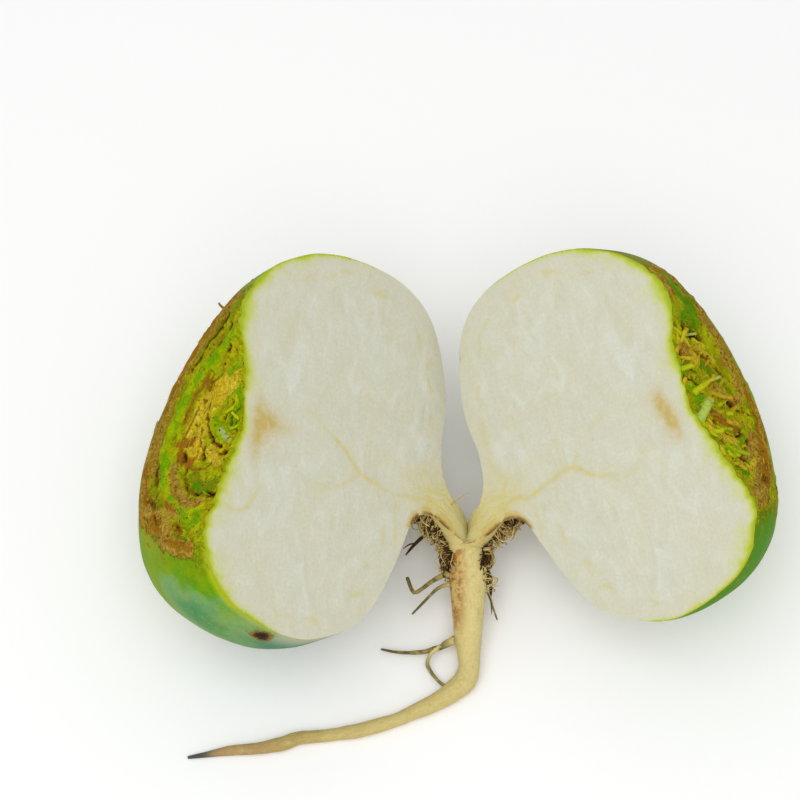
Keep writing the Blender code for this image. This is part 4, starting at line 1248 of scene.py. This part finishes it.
def makeStalk():
    look = stalkLook
    material, tree, shader = newMaterial("leafStalk")
    tint, along = own(tree, "tint"), own(tree, "lengthwise")
    where = tree.nodes.new("ShaderNodeTexCoord").outputs["Object"]
    fine, lines = grain(tree, where, 0.0008, 4.0, 0.6), grain(tree, where, 0.0022, 3.0)
    base = blend(tree, span(tree, tint, 0.0, 0.3), look["brown"], look["straw"])
    base = blend(tree, span(tree, tint, 0.3, 0.5), base, look["lime"])
    base = blend(tree, span(tree, tint, 0.5, 0.8), base, look["green"])
    base = blend(tree, span(tree, tint, 0.85, 1.0), base, look["pale"])
    base = blend(tree, span(tree, lines, 0.48, 0.70, 0.0, 0.6), base, look["straw"])
    base = blend(tree, times(tree, span(tree, along, 0.75, 1.0), span(tree, fine, 0.45, 0.6, 0.0, 0.6)), base, look["brown"])
    base = blend(tree, span(tree, fine, 0.54, 0.70, 0.0, 0.75), base, look["brown"])
    feed(tree, shader.inputs["Base Color"], base)
    shader.inputs["Roughness"].default_value = 0.55
    shader.inputs["Specular IOR Level"].default_value = 0.05
    feed(tree, shader.inputs["Normal"], relief(tree, both(tree, fine, lines), 0.0003, 0.7))
    return material


# ---- geometry nodes: tubes that follow edges, for the hair roots and the cut stalks

def tubeTree():
    # mesh edges in, closed tubes out: a point's "thick" is its radius in metres
    tree = bpy.data.node_groups.new("tubesAlongEdges", "GeometryNodeTree")
    face = tree.interface
    face.new_socket("Geometry", in_out="INPUT", socket_type="NodeSocketGeometry")
    face.new_socket("Sides", in_out="INPUT", socket_type="NodeSocketInt").default_value = 5
    face.new_socket("Flatten", in_out="INPUT", socket_type="NodeSocketFloat").default_value = 1.0
    face.new_socket("Roughen", in_out="INPUT", socket_type="NodeSocketFloat").default_value = 0.0
    face.new_socket("Seed", in_out="INPUT", socket_type="NodeSocketInt").default_value = 1
    face.new_socket("Material", in_out="INPUT", socket_type="NodeSocketMaterial")
    face.new_socket("Geometry", in_out="OUTPUT", socket_type="NodeSocketGeometry")
    make = tree.nodes.new
    start, end = make("NodeGroupInput"), make("NodeGroupOutput")
    thick = make("GeometryNodeInputNamedAttribute")
    thick.data_type = "FLOAT"
    thick.inputs["Name"].default_value = "thick"
    toCurve, radius = make("GeometryNodeMeshToCurve"), make("GeometryNodeSetCurveRadius")
    ring, squash = make("GeometryNodeCurvePrimitiveCircle"), make("GeometryNodeTransform")
    ring.inputs["Radius"].default_value = 1.0
    scale = make("ShaderNodeCombineXYZ")
    scale.inputs[0].default_value = scale.inputs[2].default_value = 1.0
    toMesh = make("GeometryNodeCurveToMesh")
    toMesh.inputs["Fill Caps"].default_value = True
    noise, offset, shift = make("ShaderNodeTexNoise"), make("ShaderNodeVectorMath"), make("ShaderNodeVectorMath")
    noise.noise_dimensions = "4D"
    noise.inputs["Scale"].default_value = 900.0
    noise.inputs["Detail"].default_value = 2.0
    place, smooth = make("GeometryNodeSetPosition"), make("GeometryNodeSetShadeSmooth")
    paint, realize = make("GeometryNodeSetMaterial"), make("GeometryNodeRealizeInstances")
    offset.operation, shift.operation = "SUBTRACT", "SCALE"
    offset.inputs[1].default_value = (0.5, 0.5, 0.5)
    join = tree.links.new
    join(start.outputs["Geometry"], toCurve.inputs["Mesh"])
    join(toCurve.outputs["Curve"], radius.inputs["Curve"])
    join(thick.outputs["Attribute"], radius.inputs["Radius"])
    join(start.outputs["Sides"], ring.inputs["Resolution"])
    join(ring.outputs["Curve"], squash.inputs["Geometry"])
    join(start.outputs["Flatten"], scale.inputs[1])
    join(scale.outputs[0], squash.inputs["Scale"])
    join(radius.outputs["Curve"], toMesh.inputs["Curve"])
    join(squash.outputs["Geometry"], toMesh.inputs["Profile Curve"])
    join(thick.outputs["Attribute"], toMesh.inputs["Scale"])
    join(start.outputs["Seed"], noise.inputs["W"])
    join(noise.outputs["Color"], offset.inputs[0])
    join(offset.outputs[0], shift.inputs[0])
    join(start.outputs["Roughen"], shift.inputs["Scale"])
    join(toMesh.outputs["Mesh"], place.inputs["Geometry"])
    join(shift.outputs[0], place.inputs["Offset"])
    join(place.outputs["Geometry"], smooth.inputs["Geometry"])
    join(smooth.outputs["Geometry"], realize.inputs["Geometry"])
    join(realize.outputs["Geometry"], paint.inputs["Geometry"])
    join(start.outputs["Material"], paint.inputs["Material"])
    join(paint.outputs["Geometry"], end.inputs["Geometry"])
    return tree


def tubesAlong(name, tree, strands, material, sides, flatten, roughen, seed):
    # strands: (points in mm, radii in mm, tint)
    points, edges, thick, tint, lengthwise = [], [], [], [], []
    for line, radii, shade in strands:
        base = len(points)
        points += [tuple(p) for p in placed(line)]
        edges += [(base + k, base + k + 1) for k in range(len(line) - 1)]
        thick += [r * mm for r in radii]
        tint += list(np.broadcast_to(shade, len(line)))
        lengthwise += list(np.linspace(0.0, 1.0, len(line)))
    mesh = bpy.data.meshes.new(name)
    mesh.from_pydata(points, edges, [])
    for key, values in (("thick", thick), ("tint", tint), ("lengthwise", lengthwise)):
        mesh.attributes.new(key, "FLOAT", "POINT").data.foreach_set("value", values)
    spines = bpy.data.objects.new(name, mesh)
    bpy.context.scene.collection.objects.link(spines)
    grow = spines.modifiers.new("grow", "NODES")
    grow.node_group = tree
    known = {item.name: item.identifier for item in tree.interface.items_tree if item.in_out == "INPUT"}
    for key, value in (("Sides", sides), ("Flatten", flatten), ("Roughen", roughen), ("Seed", seed), ("Material", material)):
        grow[known[key]] = value
    done = bpy.data.meshes.new_from_object(spines.evaluated_get(bpy.context.evaluated_depsgraph_get()))
    spines.modifiers.clear()
    spines.data = done
    done.name = name
    return spines


def finishPiece(piece):
    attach(piece, "root")
    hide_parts("turnip")
    print("turnip:", piece.name, len(piece.data.polygons), "faces")


# ---- what grows on the body

hairRoots = dict(
    seed=5,
    clusters=[  # foot's middle, how far round it feet may be, way it hangs, dark tangles, pale loops, free ends
        dict(middle=(8.5, -16.0, 14.5), reach=7.0, deep=1.7, hang=(-0.30, -0.90, -0.30), tangles=400, loops=260, ends=24),
        dict(middle=(13.0, -27.0, 11.5), reach=5.4, deep=1.1, hang=(-0.85, -0.45, -0.15), tangles=240, loops=190, ends=14),
        dict(middle=(27.0, -17.5, 15.0), reach=7.0, deep=1.5, hang=(0.25, -0.90, -0.30), tangles=400, loops=260, ends=22),
        dict(middle=(21.4, -28.5, 11.2), reach=6.0, deep=1.0, hang=(0.80, -0.50, -0.20), tangles=260, loops=150, ends=12),
    ],
    strays=[  # points x, y, z, then the radius and the shade
        ([(8.4, -19.6, 13.4), (6.0, -20.4, 11.6), (3.6, -21.8, 9.4), (1.4, -23.6, 7.0)], 0.55, 0.10),
        ([(4.6, -21.6, 9.8), (2.6, -21.6, 9.4), (0.8, -22.4, 8.4)], 0.22, 0.15),
        ([(12.6, -15.6, 19.4), (14.6, -14.2, 20.4), (17.2, -12.6, 20.8)], 0.16, 0.75),
        ([(21.6, -34.0, 9.6), (22.8, -37.0, 8.6), (23.0, -40.0, 7.4)], 0.20, 0.30),
        ([(22.4, -30.0, 10.0), (22.9, -33.0, 8.6), (22.6, -36.4, 8.0)], 0.42, 0.06),
    ],
    # the tangles are dark: soil-stained roots, partly painted shade among the hair roots
    tangle=dict(thick=(0.10, 0.22), sag=(0.1, 2.4), tint=(0.0, 0.30)),
    loop=dict(thick=(0.09, 0.17), sag=(1.2, 3.2), tint=(0.5, 1.0)),
    end=dict(thick=(0.06, 0.12), sag=(1.6, 4.2), tint=(0.1, 1.0)),
    bridge=(1.6, 6.5),  # how far apart the two feet of a loop are
)


def growHair(body, tree, material):
    rng = np.random.default_rng(hairRoots["seed"])
    mesh = body.data
    columns = {}
    for name, data, key, width in (("co", mesh.vertices, "co", 3), ("normal", mesh.vertices, "normal", 3),
                                   ("spot", mesh.attributes["spot"].data, "vector", 3),
                                   ("meridian", mesh.attributes["meridian"].data, "value", 1)):
        columns[name] = np.empty(len(mesh.vertices) * width)
        data.foreach_get(key, columns[name])
    points, normals = columns["co"].reshape(-1, 3) / mm - stand, columns["normal"].reshape(-1, 3)
    onSkin = (columns["spot"].reshape(-1, 3)[:, 2] > 0.5) | (columns["meridian"] > 13.9)
    strands = []
    for cluster in hairRoots["clusters"]:
        hang = unit(cluster["hang"])
        near = np.linalg.norm(points - np.array(cluster["middle"]), axis=1) < cluster["reach"]
        feet = np.nonzero(near & onSkin & (normals @ hang > -0.1))[0]
        for kind, count in (("tangle", cluster["tangles"]), ("loop", cluster["loops"]), ("end", cluster["ends"])):
            look = hairRoots[kind]
            for foot in rng.choice(feet, count):
                start = points[foot] - normals[foot] * 0.3
                sag = rng.uniform(*look["sag"]) * (1.0 if kind == "end" else cluster["deep"])
                if kind == "end":
                    way = unit(normals[foot] + hang * rng.uniform(0.3, 1.0) + rng.normal(0.0, 0.4, 3))
                    stop, out = start + way * sag, normals[foot] * 0.0
                else:
                    gaps = np.linalg.norm(points[feet] - points[foot], axis=1)
                    others = feet[(gaps > hairRoots["bridge"][0]) & (gaps < hairRoots["bridge"][1])]
                    other = rng.choice(others)
                    stop = points[other] - normals[other] * 0.3
                    out = unit(normals[foot] + normals[other] + hang * 0.7 + rng.normal(0.0, 0.6, 3)) * sag
                count = max(int(np.linalg.norm(stop - start) / 0.6), 6)
                shares = np.linspace(0.0, 1.0, count + 1)[:, None]
                line = start + (stop - start) * shares + out * np.sin(math.pi * shares) ** 0.8
                wiggle = np.cumsum(rng.normal(0.0, 0.21, (count + 1, 3)), axis=0)
                line += (wiggle - wiggle[0] * (1.0 - shares) - wiggle[-1] * shares) * (1.0 if kind != "tangle" else 0.7)
                line[:, 2] = np.maximum(line[:, 2], 0.2)
                radius = rng.uniform(*look["thick"])
                taper = np.linspace(1.2, 0.45, count + 1) if kind == "end" else np.full(count + 1, 1.0)
                strands.append((line, radius * taper * (1.0 + rng.normal(0.0, 0.12, count + 1)), rng.uniform(*look["tint"])))
    for line, radius, tint in hairRoots["strays"]:
        line = evenly(line, 0.5)
        strands.append((line, radius * np.sin(np.linspace(0.5, math.pi - 0.35, len(line))), tint))
    return tubesAlong("hairRoots", tree, strands, material, 4, 1.0, 0.0, 3)


leafStalks = dict(
    seed=8,
    count=96,
    spread=1.9,  # distance from the middle grows with the root of the count
    goldenAngle=137.508,
    heart=(3.0, 6.5),  # across and reach of the only place on the left half where stalks still stand
    thick=dict(left=(0.15, 0.35), right=(0.25, 0.65)),
    long=dict(left=(0.3, 1.0), right=(0.6, 1.9)),
    bold=[  # side, across, depth, length, thickness, lean (crown, across, depth), tint
        ("right", -3.8, 1.6, 4.3, 1.15, (0.76, 0.61, 0.21), 0.94),
        ("right", 6.4, 14.0, 3.1, 0.45, (0.47, 0.11, 0.87), 0.97),
        ("right", 19.0, 2.4, 7.2, 0.42, (0.22, -0.58, 0.78), 0.42),
        ("right", 18.6, 11.0, 3.2, 0.40, (0.60, 0.00, 0.80), 0.95),
        ("right", 16.8, 13.0, 4.4, 0.75, (0.40, -0.55, 0.73), 0.50),
        ("right", 9.0, 1.8, 3.4, 0.70, (0.65, 0.05, 0.75), 0.60),
        ("right", 12.0, 4.0, 3.0, 0.60, (0.60, -0.30, 0.75), 0.35),
        ("right", 3.0, 4.0, 2.6, 0.80, (0.80, 0.30, 0.30), 0.55),
        ("right", 5.0, 9.5, 2.8, 0.55, (0.60, 0.40, 0.60), 0.45),
        ("right", 3.0, 13.0, 5.4, 0.60, (0.30, -0.50, 0.80), 0.20),
        ("right", -8.0, 3.0, 3.0, 0.70, (0.70, -0.30, 0.50), 0.55),
        ("right", -13.5, 10.0, 2.6, 0.50, (0.60, -0.40, 0.60), 0.75),
        ("left", 4.8, 4.6, 2.0, 0.45, (0.60, -0.60, 0.30), 0.55),
        ("left", 2.2, 2.6, 1.8, 0.40, (0.70, 0.50, 0.40), 0.50),
        ("left", -0.4, 2.2, 1.6, 0.35, (0.70, -0.50, 0.40), 0.60),
        ("left", 34.6, 18.0, 1.5, 0.34, (0.90, 0.30, 0.20), 0.05),
    ],
    fibres=dict(
        count=200, near=17.0, far=dict(left=41.0, right=33.0), fromAcross=-28.0, long=(1.2, 4.0), thick=(0.07, 0.18),
        lift=0.02, tint=dict(outer=(0.0, 0.20), inner=(0.10, 0.62)),
    ),
)


def crownMap(side):
    # the crown's surface, to be looked up by a place seen from above it
    skin = skinPoints(turnip["halves"][side], np.linspace(0.02, 4.4, 160), np.linspace(0.0, math.pi, 181)).reshape(-1, 3)
    flat = np.stack([skin[:, 1], skin[:, 2], np.zeros(len(skin))], axis=-1)
    lifted = skin + np.array([1.0, 0.0, 0.0]) * crownShift(side, flat[:, 0], flat[:, 1])[:, None]
    tree = kdtree.KDTree(len(flat))
    for k, spot in enumerate(flat):
        tree.insert(spot, k)
    tree.balance()
    return lambda across, depth: lifted[tree.find((across, depth, 0.0))[1]].copy()


def growStalks(tree, material):
    rng = np.random.default_rng(leafStalks["seed"])
    foot = {side: crownMap(side) for side in ("left", "right")}
    wanted = []
    for number in range(leafStalks["count"]):
        turn = math.radians(leafStalks["goldenAngle"] * number) % (2.0 * math.pi)
        distance = 2.0 + leafStalks["spread"] * math.sqrt(number)
        side = "left" if turn < math.pi else "right"
        angle = turn % math.pi
        lean = np.array([0.7, 0.7 * math.cos(angle), 0.6 * math.sin(angle)]) + rng.normal(0.0, 0.35, 3)
        wanted.append((side, distance * math.cos(angle), distance * math.sin(angle),
                       rng.uniform(*leafStalks["long"][side]), rng.uniform(*leafStalks["thick"][side]), lean,
                       rng.uniform(0.0, 0.72)))
    strands = []

    def add(side, line, radii, tint):
        half = turnip["halves"][side]
        axes = np.array(halfFrame(half)) * np.array([[1.0], [1.0], [-1.0]])
        strands.append((line @ axes + half["middle"], radii, tint))

    def isBare(side, across, depth):
        return side == "left" and math.hypot(across - leafStalks["heart"][0], depth) > leafStalks["heart"][1]

    wanted = [one for one in wanted if not isBare(*one[:3])]
    for side, across, depth, length, thick, lean, tint in wanted + leafStalks["bold"]:
        if depth < thick + 0.3:
            continue
        start, way = foot[side](across, depth), unit(lean)
        bend = rng.normal(0.0, 0.14, 3)
        shares = np.linspace(-0.9 / length, 1.0, 9)
        line = np.array([start + (way + bend * share) * length * share for share in shares])
        radii = thick * (1.0 + 0.35 * np.maximum(0.0, 0.4 - shares)) * (1.0 + rng.normal(0.0, 0.09, 9))
        add(side, line, radii, tint)
    # loose fibres lying round the scars
    fibres = leafStalks["fibres"]
    for _ in range(fibres["count"]):
        side = rng.choice(["left", "right"])
        distance = math.sqrt(rng.uniform(fibres["near"] ** 2, fibres["far"][side] ** 2))
        angle, length = rng.uniform(0.05, math.pi - 0.05), rng.uniform(*fibres["long"])
        drift = rng.normal(0.0, 0.12) * length
        line = []
        for share in np.linspace(-0.5, 0.5, 6):
            turn, reach = angle + share * length / distance, distance + drift * share + rng.normal(0.0, 0.08)
            spot = foot[side](reach * math.cos(turn), reach * math.sin(turn))
            spot[0] += fibres["lift"] - 0.9 * share**2
            line.append(spot)
        line = np.array(line)
        if line[:, 2].min() < 0.6 or line[:, 1].min() < fibres["fromAcross"]:
            continue
        radii = rng.uniform(*fibres["thick"]) * np.array([0.4, 0.9, 1.1, 1.0, 0.8, 0.3])
        outer = rng.uniform() < ease(distance, 23.0, 29.0)
        add(side, line, radii, rng.uniform(*fibres["tint"]["outer" if outer else "inner"]))
    return tubesAlong("leafStalks", tree, strands, material, 7, 0.62, 0.00035, 11)


singeSpots = [  # x, y, z and radius of the browned edges of the cut over the hair roots
    (3.6, -22.4, 25.4, 2.4), (7.2, -20.2, 23.4, 3.2), (10.8, -20.6, 19.5, 3.0),
    (27.4, -21.3, 23.2, 3.4), (31.0, -23.2, 24.8, 2.0), (23.0, -22.5, 19.5, 3.0),
]
soilAndShadeSpots = [  # x, y, z and radius of the dark pockets under the necks: soil and painted shade among the hair roots
    (8.0, -17.0, 12.5, 5.0), (12.6, -27.0, 10.0, 4.2), (26.5, -18.0, 13.5, 5.0), (22.0, -27.5, 10.0, 4.0),
]
blemishes = dict(  # crown, across, depth and radius of a black spot
    left=[(15.6, -47.6, 4.2, 2.1), (14.4, -47.4, 5.4, 1.5)],
    right=[],
)


def paintMasks(mesh, data, points):
    # soft masks on the body's points, which the shaders break up with their own grain
    across, crown, depth = data[:, 0], data[:, 1], data[:, 2]
    names = ("cork", "rust", "straw", "lime", "green", "pale", "dark", "soilAndShade", "singe")
    masks = {name: np.zeros(len(data)) for name in names}
    for side, sign in (("left", -1.0), ("right", 1.0)):
        here = np.nonzero((data[:, 3] == sign) & (crown > 18.0) & (np.hypot(across, depth) < 46.0))[0]
        flat = np.stack([across[here], depth[here]], axis=-1)
        for kind, wide, _, strokePoints in crownStrokes[side]:
            masks[kind][here] = np.maximum(masks[kind][here], strokeStrength(flat, strokePoints, wide))
        for c, a, d, radius in blemishes[side]:
            gap = np.sqrt((crown - c) ** 2 + (across - a) ** 2 + (depth - d) ** 2)
            spot = np.where(data[:, 3] == sign, 1.7 * bell(gap, 0.0, radius), 0.0)
            masks["dark"] = np.maximum(masks["dark"], spot)
    for x, y, z, radius in soilAndShadeSpots:
        gap = np.linalg.norm(points - np.array([x, y, z]), axis=1)
        masks["soilAndShade"] = np.maximum(masks["soilAndShade"], 1.0 - ease(gap, 0.5 * radius, 1.3 * radius))
    for x, y, z, radius in singeSpots:
        gap = np.linalg.norm(points - np.array([x, y, z]), axis=1)
        masks["singe"] = np.maximum(masks["singe"], 1.0 - ease(gap, 0.3 * radius, 1.7 * radius))
    for name, values in masks.items():
        mesh.attributes.new(name, "FLOAT", "POINT").data.foreach_set("value", values)


def main():
    print("turnip: materials")
    materials = [makeFlesh(), makeSkin(), makeRoot()]
    print("turnip: body")
    body, data = buildBody(materials)
    dressBody(body, data)
    tree = tubeTree()
    hair = growHair(body, tree, makeHair())
    stalks = growStalks(tree, makeStalk())
    finishPiece(body)
    finishPiece(hair)
    finishPiece(stalks)


def studio():
    mesh = bpy.data.meshes.new("floor")
    size = 1.6
    mesh.from_pydata([(-size, -size, 0), (size, -size, 0), (size, size, 0), (-size, size, 0)], [], [(0, 1, 2, 3)])
    floor = bpy.data.objects.new("floor", mesh)
    bpy.context.scene.collection.objects.link(floor)
    material, _, shader = newMaterial("paleFloor")
    shader.inputs["Base Color"].default_value = (0.96, 0.96, 0.96, 1.0)
    shader.inputs["Roughness"].default_value = 0.9
    mesh.materials.append(material)
    camera = bpy.data.cameras.new("camera")
    camera.lens, camera.sensor_width = 103.3, 36.0
    eye = bpy.data.objects.new("camera", camera)
    eye.location, eye.rotation_euler = (-0.0143, -0.2464, 0.5412), (math.radians(28.0), 0.0, 0.0)
    bpy.context.scene.collection.objects.link(eye)
    bpy.context.scene.camera = eye
    light = bpy.data.lights.new("softBox", "AREA")
    light.energy, light.size = 4.2, 0.8
    lamp = bpy.data.objects.new("softBox", light)
    lamp.location = (-0.1, -0.35, 0.85)
    lamp.rotation_euler = (Vector((0.0, 0.0, 0.0)) - lamp.location).to_track_quat("-Z", "Y").to_euler()
    bpy.context.scene.collection.objects.link(lamp)
    world = bpy.data.worlds.new("studioAir")
    world.use_nodes = True
    world.node_tree.nodes["Background"].inputs["Color"].default_value = (1, 1, 1, 1)
    world.node_tree.nodes["Background"].inputs["Strength"].default_value = 0.70
    bpy.context.scene.world = world
    bpy.context.scene.view_settings.view_transform = "Standard"


main()
studio()
